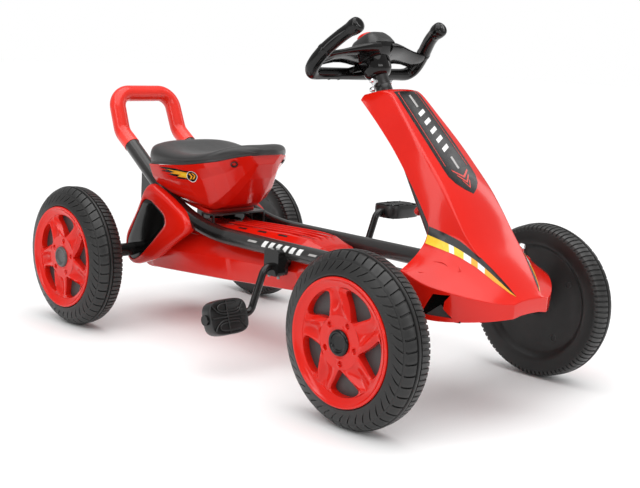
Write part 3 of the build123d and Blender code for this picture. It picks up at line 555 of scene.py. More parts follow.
def tyre_mesh():
    rows = []
    listing = tread_rows()
    for number, (x, radius, depth, both, turn) in enumerate(listing):
        before = listing[max(number - 1, 0)]
        after = listing[min(number + 1, len(listing) - 1)]
        along = Vector((after[0] - before[0], after[1] - before[1])).normalized()
        inward = Vector((along.y, -along.x))
        if inward.y > 0 and depth > 0:
            inward = -inward
        row = []
        for cell in range(BLOCKS):
            for index, share in enumerate(COLUMNS):
                sunk = index in MAIN_GROOVE or (both and index in SECOND_GROOVE)
                push = depth if sunk else 0.0
                angle = (cell + share + turn) * CELL
                r = radius + inward.y * push
                row.append((x + inward.x * push, r * math.cos(angle), r * math.sin(angle)))
        rows.append(row)
    return grid(rows, wrap_rows=True, wrap_columns=True)


SPOKES = 5
WINDOW_LOW = 36.5
WINDOW_HIGH = 74.0
WINDOW_HALF = 26.5
WINDOW_SWIRL = 7.0
HUB_FACE = 50.6
WALL_LOW = 37.2
SPOKE_PITCH = 360 / SPOKES
BOLT_CIRCLE = 28.6
VENT_CIRCLE = 65


def window_half(t):
    """Half the angle of a window, in degrees, from its inner tip at 0 to the rim at 1."""
    if t <= 0.0 or t >= 1.0:
        return 0.0
    return WINDOW_HALF * t ** 0.6 * math.sqrt(1 - t ** 12)


def spoke_height(radius, across):
    """X of the spoke's face; across runs from the claw edge at 0 to the flared edge at 1."""
    t = min(max((radius - WINDOW_LOW) / (WINDOW_HIGH - WINDOW_LOW), 0.0), 1.0)
    dish = HUB_FACE - 3.6 * math.sin(0.5 * math.pi * min(1.0, t * 1.5)) + 1.2 * t * t
    lift = math.sin(math.pi * min(1.0, t * 0.95 + 0.02)) ** 0.7
    claw = 5.2 * math.exp(-((across - 0.15 - 0.14 * t) / 0.10) ** 2)
    hollow = -4.4 * math.exp(-((across - 0.55) / 0.2) ** 2)
    far = 1.4 * math.exp(-((across - 0.9) / 0.12) ** 2)
    return dish + lift * (claw + hollow + far)


def spokes_mesh():
    """The five spokes with their turned-down window edges."""
    steps = 30
    across_steps = 16
    rows = []
    for r_step in range(steps + 1):
        share = 0.5 - 0.5 * math.cos(math.pi * r_step / steps)
        radius = WINDOW_LOW + (WINDOW_HIGH - WINDOW_LOW) * share
        half = window_half(share)
        row = []
        for spoke in range(SPOKES):
            start = SPOKE_PITCH * spoke + WINDOW_SWIRL * (share - 0.5) + half
            wide = SPOKE_PITCH - 2 * half
            roll = min(1.0, half / 4.0)
            for index in range(across_steps + 1):
                across = index / across_steps
                angle = math.radians(start + wide * across)
                x = spoke_height(radius, across)
                edge = min(across, 1 - across) * wide * radius * math.pi / 180
                x -= roll * 1.3 * max(0.0, 1 - edge / 2.2) ** 2
                if index == 0:
                    row.append((WALL_LOW, radius, angle))
                row.append((x, radius, angle))
                if index == across_steps:
                    row.append((WALL_LOW, radius, angle))
        rows.append([(x, r * math.cos(a), r * math.sin(a)) for x, r, a in row])
    width = across_steps + 3
    starts = range(0, len(rows[0]), width)
    return merged(*(grid([row[start:start + width] for row in rows]) for start in starts))


def hub_plate_mesh():
    """The hub ring: five lug recesses and short raised arcs round the cap."""
    low, high = 12.6, WINDOW_LOW + 0.2
    rows = []
    count = 240
    for step in range(44):
        radius = low + (high - low) * step / 43
        row = []
        for index in range(count):
            angle = 2 * math.pi * index / count
            arc = max(0.0, 1 - abs(radius - 22.0) / 3.0)
            x = HUB_FACE + 0.9 * arc * (0.5 + 0.5 * math.cos(angle * SPOKES))
            nearest = round(angle / math.radians(SPOKE_PITCH)) * math.radians(SPOKE_PITCH)
            dy = radius * math.cos(angle - nearest) - BOLT_CIRCLE
            dz = radius * math.sin(angle - nearest)
            reach = math.hypot(dy, dz)
            x -= 3.4 * (1 - min(1.0, max(0.0, (reach - 3.1) / 0.9)))
            x += 0.45 * math.exp(-((reach - 4.9) / 0.7) ** 2)
            row.append((x, radius * math.cos(angle), radius * math.sin(angle)))
        rows.append(row)
    points, faces = grid(rows, wrap_columns=True)
    sleeve = [(HUB_FACE, 12.7), (HUB_FACE - 4, 12.7), (HUB_FACE - 4, 14)]
    return merged((points, faces), turned(sleeve, 0.3, 2, count))


def rim_ring_mesh():
    profile = [(41, 88.3), (53.4, 88.3), (54.5, 87.6), (54.6, 86.4), (54.2, 84.9), (53.2, 83.9), (51.6, 82.2),
               (50.0, 79.4), (48.9, 76.6), (48.2, 73.8), (45.4, 73.8), (46.0, 78), (48.6, 83), (50.0, 85.2),
               (41, 85.4)]
    return lathe(rounded_profile(profile, 0.8, 2), 160)


def hub_cap_mesh():
    profile = [(51.2, 0.0), (51.2, 9.6), (51.9, 10.6), (52.1, 12.4), (54.2, 13.2), (54.5, 14.6), (54.2, 16.2),
               (53.0, 17.6), (50.8, 18.2), (46.4, 18.2)]
    return turned(profile, 0.7, 3, 96)


def vents_mesh():
    """Four small rimmed dimples on the back of the wheel."""
    dimple, faces = turned([(12.2, 6.2), (11.3, 5.6), (11.3, 3.9), (13.6, 3.4), (13.6, 0.0)], 0.4, 2, 28)
    vents = []
    for index in range(4):
        angle = math.pi / 4 + index * math.pi / 2
        offset = Vector((0, VENT_CIRCLE * math.cos(angle), VENT_CIRCLE * math.sin(angle)))
        vents.append(([tuple(Vector(p) + offset) for p in dimple], faces))
    return merged(*vents)


def wheel_place(side, y, phase):
    """From wheel axes to the kart: the same moulding faces out on both sides."""
    turn = Matrix.Rotation(math.radians(phase), 4, "X")
    flip = Matrix.Identity(4) if side > 0 else Matrix.Rotation(math.pi, 4, "Z")
    spot = Matrix.Translation(Vector((side * TYRE_INNER_X, y, AXLE_Z)) * MM)
    return spot @ flip @ turn


def make_wheels():
    tread = tyre_mesh()
    rim = merged(rim_ring_mesh(), spokes_mesh(), hub_plate_mesh())
    disc = lathe([(36.4, 23), (36.9, 26), (36.9, 80), (36.4, 84.0)], 96, closed=False)
    cap = hub_cap_mesh()
    vents = vents_mesh()
    places = (
        ("front_left", 1, FRONT_Y, "front_wheel_left", 12.0),
        ("front_right", -1, FRONT_Y, "front_wheel_right", -11.0),
        ("rear_left", 1, REAR_Y, "rear_axle", 30.0),
        ("rear_right", -1, REAR_Y, "rear_wheel_right", 9.0),
    )
    for name, side, y, body, phase in places:
        matrix = wheel_place(side, y, phase)
        tyre = build(f"tyre_{name}_look", *moved(tread, matrix), TYRE, smooth=32)
        fit_out(tyre, body, "tyre_black", f"tyre_{name}")
        face = build(f"wheel_disc_{name}", *moved(disc, matrix), DISC_GREY)
        fit_out(face, body, "tyre_black")
        cover = build(f"rim_cover_{name}_look", *moved(rim, matrix), RED, smooth=38)
        fit_out(cover, body, "red_plastic", f"rim_cover_{name}")
        finish = BLACK_GLOSS if y == FRONT_Y else GREY_CAP
        button = build(f"hub_cap_{name}_look", *moved(cap, matrix), finish)
        fit_out(button, body, "hub_cap_black", f"hub_cap_{name}")
        vent = build(f"wheel_vents_{name}", *moved(vents, matrix), BLACK_SATIN)
        fit_out(vent, body, "tyre_black")


make_wheels()


# ------------------------------------------------------------------ front fairing

def fairing_rows():
    """Half sections of the hood and nose: middle, front face, ridge, flank, foot of the flank."""
    sections = [
        (166, (0, 438.6), (26, 438.4), (43, 437), (47, 434), (50.5, 429)),
        (146, (0, 446.2), (24, 445.8), (38.5, 443.4), (45, 428), (51, 412)),
        (126, (0, 449.4), (20, 449), (33, 447.2), (44, 422), (52.5, 395)),
        (108, (0, 432.8), (20, 432.2), (37, 429.2), (46.5, 404), (54, 378.5)),
        (90, (0, 416.4), (22, 415.4), (40.5, 411), (49, 387), (55.5, 362)),
        (53, (0, 381.2), (25, 380), (48, 375), (55.5, 350), (61, 324)),
        (20, (0, 348.4), (27, 347), (49.6, 341.6), (58.4, 315), (66.4, 286)),
        (3, (0, 331.4), (28, 329.8), (51, 324), (60, 298), (70, 264.5)),
        (-8, (0, 319.6), (28, 318), (52, 312), (60.5, 286), (67.8, 261)),
        (-20, (0, 305.4), (28, 304), (53, 296.5), (59, 276), (65.5, 257.5)),
        (-36, (0, 283.4), (28, 282), (54, 275), (56.5, 265), (59, 254.5)),
        (-50, (0, 262.6), (27, 261.4), (53.4, 255), (54, 252), (54.6, 249)),
        (-68, (0, 240.8), (25, 240), (50.6, 235.6), (51.2, 233.6), (51.8, 231.8)),
        (-85, (0, 224.8), (23, 224), (46.6, 219.6), (47.4, 218), (48.2, 216.6)),
        (-107, (0, 201.6), (19, 201), (38, 198.4), (39, 197.2), (40, 196.2)),
        (-121, (0, 185.4), (15, 185), (30.6, 183.2), (31.6, 182.4), (32.6, 181.6)),
        (-129.5, (0, 176.5), (12, 176.3), (24, 175.6), (25, 175.3), (26, 175.0)),
    ]
    return [(behind_front(row[0]), row[1:]) for row in sections]


WING_SECTIONS = [
    (3, (70, 264.5), (73.5, 242), (98.5, 220.5), (120, 209.4), (124.5, 207), (122, 180), (117, 150)),
    (-8, (67.8, 261), (74, 240), (98, 220), (120.5, 207.6), (125.4, 204.5), (122.5, 178), (116.5, 148)),
    (-20, (65.5, 257.5), (75, 238), (98, 219), (121, 203.8), (126, 200.5), (122.5, 175), (115.5, 146)),
    (-36, (59, 254.5), (74, 238), (97, 217.5), (120, 200), (125.5, 196), (122, 171), (114, 144)),
    (-50, (54.6, 249), (70, 234), (93, 214), (117, 197.5), (123.5, 193), (119, 169), (110, 143.5)),
    (-68, (51.8, 231.8), (64, 221), (86, 207), (111, 194.8), (119, 191), (113, 168), (104, 145)),
    (-85, (48.2, 216.6), (58, 209.5), (77, 199.5), (100, 189.5), (108, 186.3), (103, 166), (95, 146.5)),
    (-107, (40, 196.2), (48, 191.5), (61, 186), (76, 181.2), (82, 179.2), (80, 163), (75, 148.5)),
    (-121, (32.6, 181.6), (38, 179.6), (46, 177.4), (55, 175.6), (59.5, 174.6), (58, 161), (55.5, 151)),
    (-129.5, (26, 175.0), (29, 174.6), (33, 174.0), (37, 173.3), (39.5, 172.6), (39.0, 162), (38.0, 153)),
]
LAST_TOP = 4
NOSE_SINK = 9.0


def fairing_mesh():
    """Hood, wings and nose band in one skin, the left half mirrored."""
    hood = [[(x, y, z) for x, z in half] for y, half in fairing_rows()]
    wing = []
    band = []
    for back, *half in WING_SECTIONS:
        y = behind_front(back)
        section = [(x, y, z) for x, z in half]
        wing.append(section[:LAST_TOP + 1])
        band.append(section[LAST_TOP:])
    front_row = list(reversed(hood[-1] + wing[-1][1:]))
    for x, y, z in front_row[1:]:
        band.append([(x, y, z), (x, y - 0.3, z - NOSE_SINK - 2), (x, y + 0.8, z - 2.2 * NOSE_SINK - 1)])
    return mirrored(merged(grid(hood), grid(wing), grid(band)))


def on_ridge(point):
    """Whether a point lies on one of the fairing's sharp lines."""
    x, y, z = abs(point.x), point.y, point.z
    for back, *half in WING_SECTIONS:
        if abs(y - behind_front(back)) < 0.01 and abs(x - half[LAST_TOP][0]) < 0.01:
            return "wing"
    if abs(y - behind_front(-129.5)) < 0.01 and z > 172:
        return "wing"
    for station, half in fairing_rows():
        if abs(y - station) > 0.01:
            continue
        if abs(x - half[2][0]) < 0.01 and abs(z - half[2][1]) < 0.01:
            return "ridge"
        if abs(x - half[4][0]) < 0.01 and abs(z - half[4][1]) < 0.01 and y < behind_front(4):
            return "foot"
    return None


def fairing_crease(one, two):
    first, second = on_ridge(one), on_ridge(two)
    if first != second or first is None:
        return 0.0
    return {"wing": 0.75, "ridge": 0.72, "foot": 0.6}[first]


def make_fairing():
    points, faces = fairing_mesh()
    shell = build("fairing_shell", points, faces, RED)
    crease(shell, fairing_crease)
    subdivide(shell, 3)
    apply_modifiers(shell)
    skin = surface_of(shell)
    thicken(shell, 2.2)
    fit_out(shell, "frame", "red_plastic", "front_fairing")
    return shell, skin


def cut_out(obj, cutter):
    """Takes the cutter's volume out of the piece."""
    modifier = obj.modifiers.new("cut", "BOOLEAN")
    modifier.operation = "DIFFERENCE"
    modifier.solver = "EXACT"
    modifier.object = cutter
    apply_modifiers(obj)
    bpy.data.objects.remove(cutter)
    return obj


def prism(name, outline, x0, x1):
    """A bar along X through an outline of (y, z) in mm, on both sides of the kart."""
    near = [(x0, y, z) for y, z in outline]
    far = [(x1, y, z) for y, z in outline]
    count = len(outline)
    faces = [tuple(range(count)), tuple(reversed(range(count, 2 * count)))]
    for index in range(count):
        after = (index + 1) % count
        faces.append((index, after, count + after, count + index))
    return build(name, *mirrored((near + far, faces)), RED)


# The side opening below each wing: outline of (mm behind the front axle, height).
INTAKE = [(-53, 184), (-77, 185), (-69, 175), (-66, 164), (-75, 151.5), (-30, 151.5), (-33, 156), (-36, 160)]
INTAKE_GREY = [(-33, 148.5), (-57, 168), (-74, 148.5)]
INTAKE_DEPTH = (88, 140)
BOARD_X = 111.0
BOARD_START = -26
BOARD_SLOPE = 0.28


def cut_intakes(shell):
    outline = [(behind_front(back), z) for back, z in INTAKE]
    return cut_out(shell, prism("intake_cutter", outline, *INTAKE_DEPTH))


def behind_wing(side, back, z, proud):
    """A place on the flat board behind a side opening."""
    return (side * (BOARD_X + proud + (back - BOARD_START) * BOARD_SLOPE), behind_front(back), z)


def make_intakes():
    """A black board behind each opening, with the grey wedge of the grille in front of it."""
    board = [(BOARD_START, 145.2), (BOARD_START, 192), (-84, 188), (-84, 145.2)]
    for side, hand in ((1, "left"), (-1, "right")):
        points = [behind_wing(side, back, z, 0.0) for back, z in board]
        plate = build(f"intake_plate_{hand}", points, [(0, 1, 2, 3)], BLACK_GLOSS)
        thicken(plate, 1.4, 0.0)
        soften(plate, 0.4, 2)
        fit_out(plate, "frame", "gloss_black_plastic", "intake_insets")
        points = [behind_wing(side, back, z, 3.0) for back, z in INTAKE_GREY]
        grey = build(f"intake_grille_{hand}", points, [(0, 1, 2)], GREY_CAP)
        thicken(grey, 2.4, 0.0)
        soften(grey, 0.8, 3)
        fit_out(grey, "frame", "gloss_black_plastic")


HOOD_TILT = math.radians(45)
SHIELD_TOP_Y = -216
SHIELD_TOP_Z = 446


def hood_point(across, along):
    """A place on the front face of the hood, by mm across and down from the top of the shield."""
    return (across, SHIELD_TOP_Y - along * math.cos(HOOD_TILT), SHIELD_TOP_Z - along * math.sin(HOOD_TILT))


def hood_sticker(name, outline, material, lift):
    points = [hood_point(across, along) for across, along in outline]
    obj = build(name, points, [tuple(range(len(points)))], material)
    laid_on(obj, fairing_skin, lift, cut=3.0)
    return fit_out(obj, "frame", "red_plastic")


def slanted(middle, along, width, length, lean):
    """A slanted bar across the shield."""
    half = width / 2
    return [(middle - half, along + lean), (middle + half, along - lean),
            (middle + half, along - lean + length), (middle - half, along + lean + length)]


def make_hood_shield():
    edge = [(26, 2), (28.5, 60), (30.5, 120), (31, 152), (30, 166), (24, 179), (13, 190)]
    other_edge = [(-across, along) for across, along in reversed(edge)]
    shield = other_edge[-1:] + edge + [(0, 198)] + other_edge[:-1]
    hood_sticker("shield_base", shield, FILM_BLACK, 0.25)
    for side in (-1, 1):
        line = [(side * 17, 6), (side * 20.5, 6), (side * 24.5, 148), (side * 23.3, 148), (side * 19.3, 8),
                (side * 17, 8)]
        hood_sticker(f"shield_line_{'left' if side > 0 else 'right'}", line, FILM_RED, 0.45)
    hood_sticker("shield_dash_top", slanted(0, 12, 5, 24, 1.0), FILM_GREY, 0.45)
    hood_sticker("shield_dash_low", slanted(0, 132, 5, 22, 1.0), FILM_GREY, 0.45)
    for index in range(5):
        hood_sticker(f"shield_bar_{index + 1}", slanted(0, 44 + 17 * index, 17, 7, 4.5), FILM_WHITE, 0.45)
    for index in range(3):
        along = 158 + 9 * index
        reach = 17 - 4.5 * index
        chevron = [(-reach, along - 3), (0, along + 9), (reach, along - 3), (reach, along), (0, along + 13),
                   (-reach, along)]
        hood_sticker(f"shield_chevron_{index + 1}", chevron, FILM_RED, 0.45)


# Stations of the wing stripe: (x, mm behind the front axle, height) of the black band's top, the colours' top
# and the colours' lower edge.
STRIPE = [
    ((70, 2.6, 264), (71.5, 2.4, 252), (77, 1.0, 240)),
    ((64, -23, 257), (69.5, -28, 245.5), (76, -36, 234)),
    ((58, -44, 249), (64.5, -50, 238), (69.8, -55, 229)),
    ((51, -68, 234), (54.5, -72, 225.5), (59, -76, 217.5)),
    ((40.5, -91, 214.5), (44, -94.5, 207.5), (48, -98, 200.8)),
    ((30.5, -113, 192), (33, -116, 188.2), (34.5, -117, 186)),
    ((27, -122.6, 182), (27.3, -122.8, 181.6), (27.6, -123, 181.2)),
]
STRIPE_COLOURS = [
    (0.0, 1.25, FILM_YELLOW), (1.25, 1.6, FILM_WHITE), (1.6, 2.25, FILM_YELLOW), (2.25, 2.7, FILM_WHITE),
    (2.7, 3.1, FILM_ORANGE), (3.1, 3.5, FILM_WHITE), (3.5, 6.0, FILM_ORANGE),
]


def stripe_at(t, edge):
    """A place along one of the stripe's three edges."""
    low = min(int(t), len(STRIPE) - 2)
    share = t - low
    one, two = STRIPE[low][edge], STRIPE[low + 1][edge]
    x, back, z = (a + (b - a) * share for a, b in zip(one, two))
    return (x, behind_front(back), z)


def make_wing_stripes():
    bands = [("stripe_black", 0.0, 6.0, 0, 1, FILM_BLACK)]
    for index, (start, end, film) in enumerate(STRIPE_COLOURS):
        bands.append((f"stripe_colour_{index + 1}", start, end, 1, 2, film))
    for name, start, end, upper, lower, film in bands:
        steps = max(2, int((end - start) * 4))
        top = [stripe_at(start + (end - start) * s / steps, upper) for s in range(steps + 1)]
        low = [stripe_at(start + (end - start) * s / steps, lower) for s in range(steps + 1)]
        for side, hand in ((1, "left"), (-1, "right")):
            rows = [[(side * x, y, z) for x, y, z in row] for row in (top, low)]
            obj = build(f"{name}_{hand}", *grid(rows), film)
            laid_on(obj, fairing_skin, 0.45, cut=2.5)
            fit_out(obj, "frame", "red_plastic")


def relief(name, path, surface, flatten):
    """A low raised line moulded on a red surface."""
    obj = build(name, *tube(smooth_path(path, 6), 10), RED)
    for vert in obj.data.vertices:
        spot, normal, _, _ = surface.find_nearest(vert.co)
        away = (vert.co - spot).dot(normal)
        vert.co = spot + normal * away * flatten
    return fit_out(obj, "frame", "red_plastic")


def make_fairing_relief():
    for side, hand in ((1, "left"), (-1, "right")):
        marks = [
            [(115, -22, 208, 0.5), (108, -35, 207, 0.9), (100, -45, 208, 0.9), (97, -50, 210, 0.4)],
            [(94, -28, 221, 0.5), (90, -42, 222, 0.9), (88, -50, 217, 0.9), (92, -48, 213, 0.5)],
            [(90, -56, 212, 0.5), (84, -62, 211, 0.9), (80, -66, 214, 0.9), (78, -62, 218, 0.4)],
        ]
        for index, mark in enumerate(marks):
            path = [(side * x, behind_front(back), z, r) for x, back, z, r in mark]
            relief(f"fairing_mark_{index + 1}_{hand}", path, fairing_skin, 0.7)


def make_hood_knob():
    """The small red knob that holds the hood to its strap."""
    shape = turned([(0, 0.0), (0, 6.5), (2, 8), (7, 8), (9, 6.5), (9.6, 0.0)], 1.0, 3, 40)
    spot = Matrix.Translation(Vector((0, -263, 268)) * MM) @ Matrix.Rotation(math.radians(120), 4, "X")
    upright = spot @ Matrix.Rotation(math.radians(90), 4, "Y")
    knob = build("hood_knob", *moved(shape, upright), RED)
    fit_out(knob, "frame", "red_plastic")


# ------------------------------------------------------------------ seat

SHELL_STATIONS = [
    (24, (66, 277), (65.5, 273), (63, 266), (57, 259), (50, 256)),
    (36, (84, 281), (82, 275), (78, 266), (66, 252), (56, 247)),
    (55, (98, 286), (95.5, 279), (90, 264), (76, 245), (60, 236)),
    (90, (98, 288), (95.5, 281), (89, 262), (72, 236), (58, 228)),
    (120, (98, 290.5), (95.5, 283), (87.5, 262), (67, 231), (57, 223)),
    (150, (96.5, 293.5), (93.5, 286), (83.5, 264), (62, 226), (52, 218)),
    (178, (93.5, 297.5), (90, 290), (76, 270), (57, 222), (46, 215)),
    (200, (89.5, 301.5), (85, 293), (70, 279), (55, 236), (38, 226)),
    (222, (77, 306), (71, 297), (60, 286), (48, 256), (32, 247)),
    (245, (56, 314), (50, 307), (43, 300), (35, 284), (24, 276)),
    (257, (33, 318), (30, 314), (27, 310), (22, 305), (16, 302)),
]

PAD_STATIONS = [
    (26.5, 50, 309, 306, 293, 283.5),
    (30, 66, 317, 313, 297, 281.5),
    (42, 88, 325, 319, 302, 284),
    (58, 99, 327, 322, 305, 287),
    (85, 101, 317, 317, 304, 289.5),
    (120, 100.5, 309, 313, 303, 291.5),
    (150, 98.5, 307, 313.5, 304, 294.5),
    (178, 95.5, 310, 316.5, 308, 298.5),
    (205, 88.5, 319, 322, 313.5, 303.5),
    (226, 74.5, 330, 331, 319, 308),
    (243, 57, 335.5, 333, 324.5, 314.5),
    (254, 40, 333, 330.5, 325.5, 318.3),
    (261.5, 23, 327, 325.5, 323, 319.6),
]


def make_seat_shell():
    rows = []
    for distance, *half in SHELL_STATIONS:
        y = ahead(distance)
        right = [(-x, y, z) for x, z in half]
        left = [(x, y, z) for x, z in reversed(half)]
        rows.append(right + left)
    points, faces = grid(rows)
    width = len(rows[0])
    faces += [tuple(range(width)), tuple(reversed(range(len(points) - width, len(points))))]
    shell = build("seat_shell", points, faces, RED)
    soften(shell, 1.5, 3, 7)
    apply_modifiers(shell, 60)
    fit_out(shell, "frame", "red_plastic", "seat_body")
    skin = surface_of(shell)
    for side, hand in ((1, "left"), (-1, "right")):
        # A moulded recess on each flank, coloured black all over: painted shade of a screw hole.
        recess = turned([(2.0, 6.4), (2.4, 4.2), (0.2, 3.8), (-2.5, 3.4), (-2.5, 0)], 0.5, 3, 32)
        place = Vector((side * 56, ahead(240), 302)) * MM
        spot, normal, _, _ = skin.find_nearest(place)
        turn = normal.to_track_quat("X", "Z").to_matrix().to_4x4()
        screw = build(f"seat_screw_hole_shade_{hand}", *moved(recess, Matrix.Translation(spot) @ turn), BLACK_SATIN)
        fit_out(screw, "frame", "red_plastic")
    rows = [[(x, ahead(distance), z) for x in (-52, -26, 0, 26, 52)]
            for distance, z in ((62, 233), (120, 222), (170, 214))]
    foot = build("seat_foot", *grid(rows), RED)
    thicken(foot, 7.0)
    soften(foot, 1.6, 3)
    fit_out(foot, "frame", "red_plastic")
    return shell, skin


def make_pad():
    """The saddle: a dished top, a rolled edge, a seam and a turned-under lip."""
    rows = []
    for distance, wide, top, shoulder, side, low in PAD_STATIONS:
        y = ahead(distance)
        shares = [
            (0, top), (0.30, top + 0.4), (0.62, (top + shoulder) / 2 + 1.4), (0.84, shoulder),
            (0.955, shoulder - 4.5),
            (1, side), (0.992, (side + low) / 2), (0.965, low + 3.2), (0.985, low + 1.2), (0.985, low - 1.4),
            (0.9, low - 1.8), (0, low - 1),
        ]
        half = [(wide * share, z) for share, z in shares]
        left = [(x, y, z) for x, z in half]
        right = [(-x, y, z) for x, z in reversed(half[1:-1])]
        rows.append(left + right)
    points, faces = grid(rows, wrap_columns=True)
    width = len(rows[0])
    for start, row in ((0, rows[0]), ((len(rows) - 1) * width, rows[-1])):
        centre = sum((Vector(p) for p in row), Vector()) / width
        points.append(tuple(centre))
        for index in range(width):
            faces.append((start + index, start + (index + 1) % width, len(points) - 1))
    pad = build("seat_pad_cover", points, faces, VINYL)
    subdivide(pad, 3)
    apply_modifiers(pad, 60)
    fit_out(pad, "frame", "seat_black", "seat_pad")
    return pad


def ring_points(radius, count):
    angles = [2 * math.pi * i / count for i in range(count)]
    return [(radius * math.cos(angle), radius * math.sin(angle)) for angle in angles]


DISC_X = 92
DISC_Y = 184
DISC_Z = 271


def seat_sticker(name, outline, material, lift, surface):
    """A seat sticker on both sides, from (mm towards the nose, mm up) about the disc's middle."""
    for side, hand in ((1, "left"), (-1, "right")):
        points = [(side * DISC_X, DISC_Y - forward, DISC_Z + up) for forward, up in outline]
        obj = build(f"{name}_{hand}", points, [tuple(range(len(points)))], material)
        laid_on(obj, surface, lift, cut=4.0)
        fit_out(obj, "frame", "red_plastic")


def make_seat_stickers(surface):
    flame = [(6, 9), (-14, 12.5), (-34, 15), (-58, 15.5), (-84, 14), (-60, 10), (-80, 6.5), (-48, 5), (-62, 1),
             (-34, -1.5), (-44, -5), (-18, -6), (4, -9)]
    seat_sticker("flame_dark", flame, FILM_BLACK, 0.25, surface)
    bright = [(2, 7), (-16, 9.5), (-36, 11.5), (-62, 12), (-40, 8), (-54, 5), (-30, 3), (-36, -1), (-12, -3.5),
              (2, -6)]
    seat_sticker("flame_bright", bright, FILM_ORANGE, 0.4, surface)
    core = [(0, 5), (-18, 7), (-38, 8.5), (-24, 4.5), (-28, 1.5), (-10, -1), (0, -4)]
    seat_sticker("flame_core", core, FILM_YELLOW, 0.5, surface)
    seat_sticker("disc_white", ring_points(11.5, 36), FILM_WHITE, 0.6, surface)
    seat_sticker("disc_black", ring_points(10.3, 36), FILM_BLACK, 0.72, surface)
    for index, back in enumerate((-4.5, 2.0)):
        chevron = [(back - 2, 6), (back + 1.6, 6), (back + 6, 0), (back + 1.6, -6), (back - 2, -6),
                   (back + 2.4, 0)]
        seat_sticker(f"disc_chevron_{index + 1}", chevron, FILM_ORANGE, 0.84, surface)


# ------------------------------------------------------------------ rear pods

POD_CENTRE = (62, 170)
POD_EDGE = [(55, 250), (100, 232), (152, 207), (172, 186), (122, 153), (62, 112), (8, 94), (-14, 96),
            (-25, 120), (-24, 146), (8, 196), (31, 236), (43, 248)]
INSET_EDGE = [(42, 221), (60, 218), (96, 198), (99, 182), (66, 149), (34, 121), (12, 104), (-4, 103),
              (-15, 116), (-16, 136), (12, 186), (32, 216)]
POD_RAYS = 96


def radial(outline, rays=POD_RAYS, rounds=2):
    """The outline as points at equal angles round the pod's middle, with softened corners."""
    centre = Vector(POD_CENTRE)
    directions = [Vector(point) for point in ring_points(1.0, rays)]
    reach = []
    for towards in directions:
        best = 0.0
        for index, corner in enumerate(outline):
            one = Vector(corner) - centre
            two = Vector(outline[(index + 1) % len(outline)]) - centre
            edge = two - one
            cross = towards.x * edge.y - towards.y * edge.x
            if abs(cross) < 1e-9:
                continue
            t = (one.x * edge.y - one.y * edge.x) / cross
            s = (one.x * towards.y - one.y * towards.x) / cross
            if t > 0 and -1e-6 <= s <= 1 + 1e-6:
                best = max(best, t)
        reach.append(best)
    for _ in range(rounds):
        reach = [(reach[i - 1] + 2 * reach[i] + reach[(i + 1) % rays]) / 4 for i in range(rays)]
    return [tuple(centre + towards * length) for towards, length in zip(directions, reach)]


def pod_ring(edge, x, shift, inset=None, share=0.0):
    """One ring of the pod at an X, drawn in by the shift and blended towards the inset's edge."""
    centre = Vector(POD_CENTRE)
    row = []
    for index, corner in enumerate(edge):
        out = Vector(corner) - centre
        out = out * (1 - shift / out.length)
        if inset is not None:
            out = out.lerp(Vector(inset[index]) - centre, share)
        row.append((x, ahead(centre.x + out.x), centre.y + out.y))
    return row


def make_pods():
    edge = radial(POD_EDGE)
    inset = radial(INSET_EDGE)
    outer = [(69.5, 8), (73, 3.5), (79, 0.6), (85, 0.0), (90, 1.2), (93.4, 4.2), (94.8, 8.0)]
    face = [(95.0, 0.4), (95.0, 0.86), (94.7, 0.96), (92.6, 1.0)]
    rings = [pod_ring(edge, x, shift) for x, shift in outer]
    rings += [pod_ring(edge, x, 8.0, inset, share) for x, share in face]
    panel = [pod_ring(inset, 93.0, 0.6), pod_ring(inset, 94.0, 1.0), pod_ring(inset, 94.5, 2.4)]
    for share in (0.2, 0.4, 0.6, 0.8, 0.94):
        row = pod_ring(inset, 94.6 + 0.5 * share, 2.4)
        centre = Vector((95.1, ahead(POD_CENTRE[0]), POD_CENTRE[1]))
        panel.append([tuple(Vector(p).lerp(centre, share)) for p in row])
    for side, hand in ((1, "left"), (-1, "right")):
        rows = [[(side * x, y, z) for x, y, z in row] for row in rings]
        pod = build(f"rear_pod_{hand}_look", *grid(rows, wrap_columns=True), RED, smooth=60)
        fit_out(pod, "frame", "red_plastic", f"rear_pod_{hand}")
        rows = [[(side * x, y, z) for x, y, z in row] for row in panel]
        points, faces = grid(rows, wrap_columns=True)
        last = len(points) - POD_RAYS
        faces.append(tuple(range(last, last + POD_RAYS)))
        plate = build(f"pod_inset_{hand}", points, faces, BLACK_GLOSS, smooth=50)
        fit_out(plate, "frame", "gloss_black_plastic", "pod_insets")


# ------------------------------------------------------------------ chain case

BELLY = [
    (-35.5, (52, 128), (54, 124), (54, 121), (50, 119)),
    (-32, (55, 148), (56, 126), (55.6, 112), (51, 105)),
    (-20, (56, 160), (58.5, 126), (57, 97), (50, 92)),
    (0, (56, 166), (62, 127), (57.5, 89), (50, 86.4)),
    (14, (56, 167), (63, 127), (59.5, 89), (51, 86.0)),
    (22, (56, 167.6), (66, 128), (61.5, 91), (53, 88.0)),
    (56, (56, 167.6), (68, 130), (62.5, 93), (54, 90.0)),
    (110, (56, 167.6), (69.5, 134), (63, 96.5), (54, 93.5)),
    (180, (56, 167.6), (71, 139), (63.5, 101), (54, 98)),
    (243, (56, 167.6), (72, 143), (63.5, 105), (54, 102.2)),
    (252, (56, 167.6), (70.6, 143.5), (61.5, 106), (53, 103)),
    (340, (56, 167.6), (70.8, 147), (61, 112), (53, 109.4)),
    (419, (56, 167.6), (70, 150), (60, 118), (52, 115.2)),
    (434, (53, 167.6), (63, 150), (52, 124), (46, 122)),
    (441, (48, 167.6), (55, 151), (44, 132), (38, 130)),
]
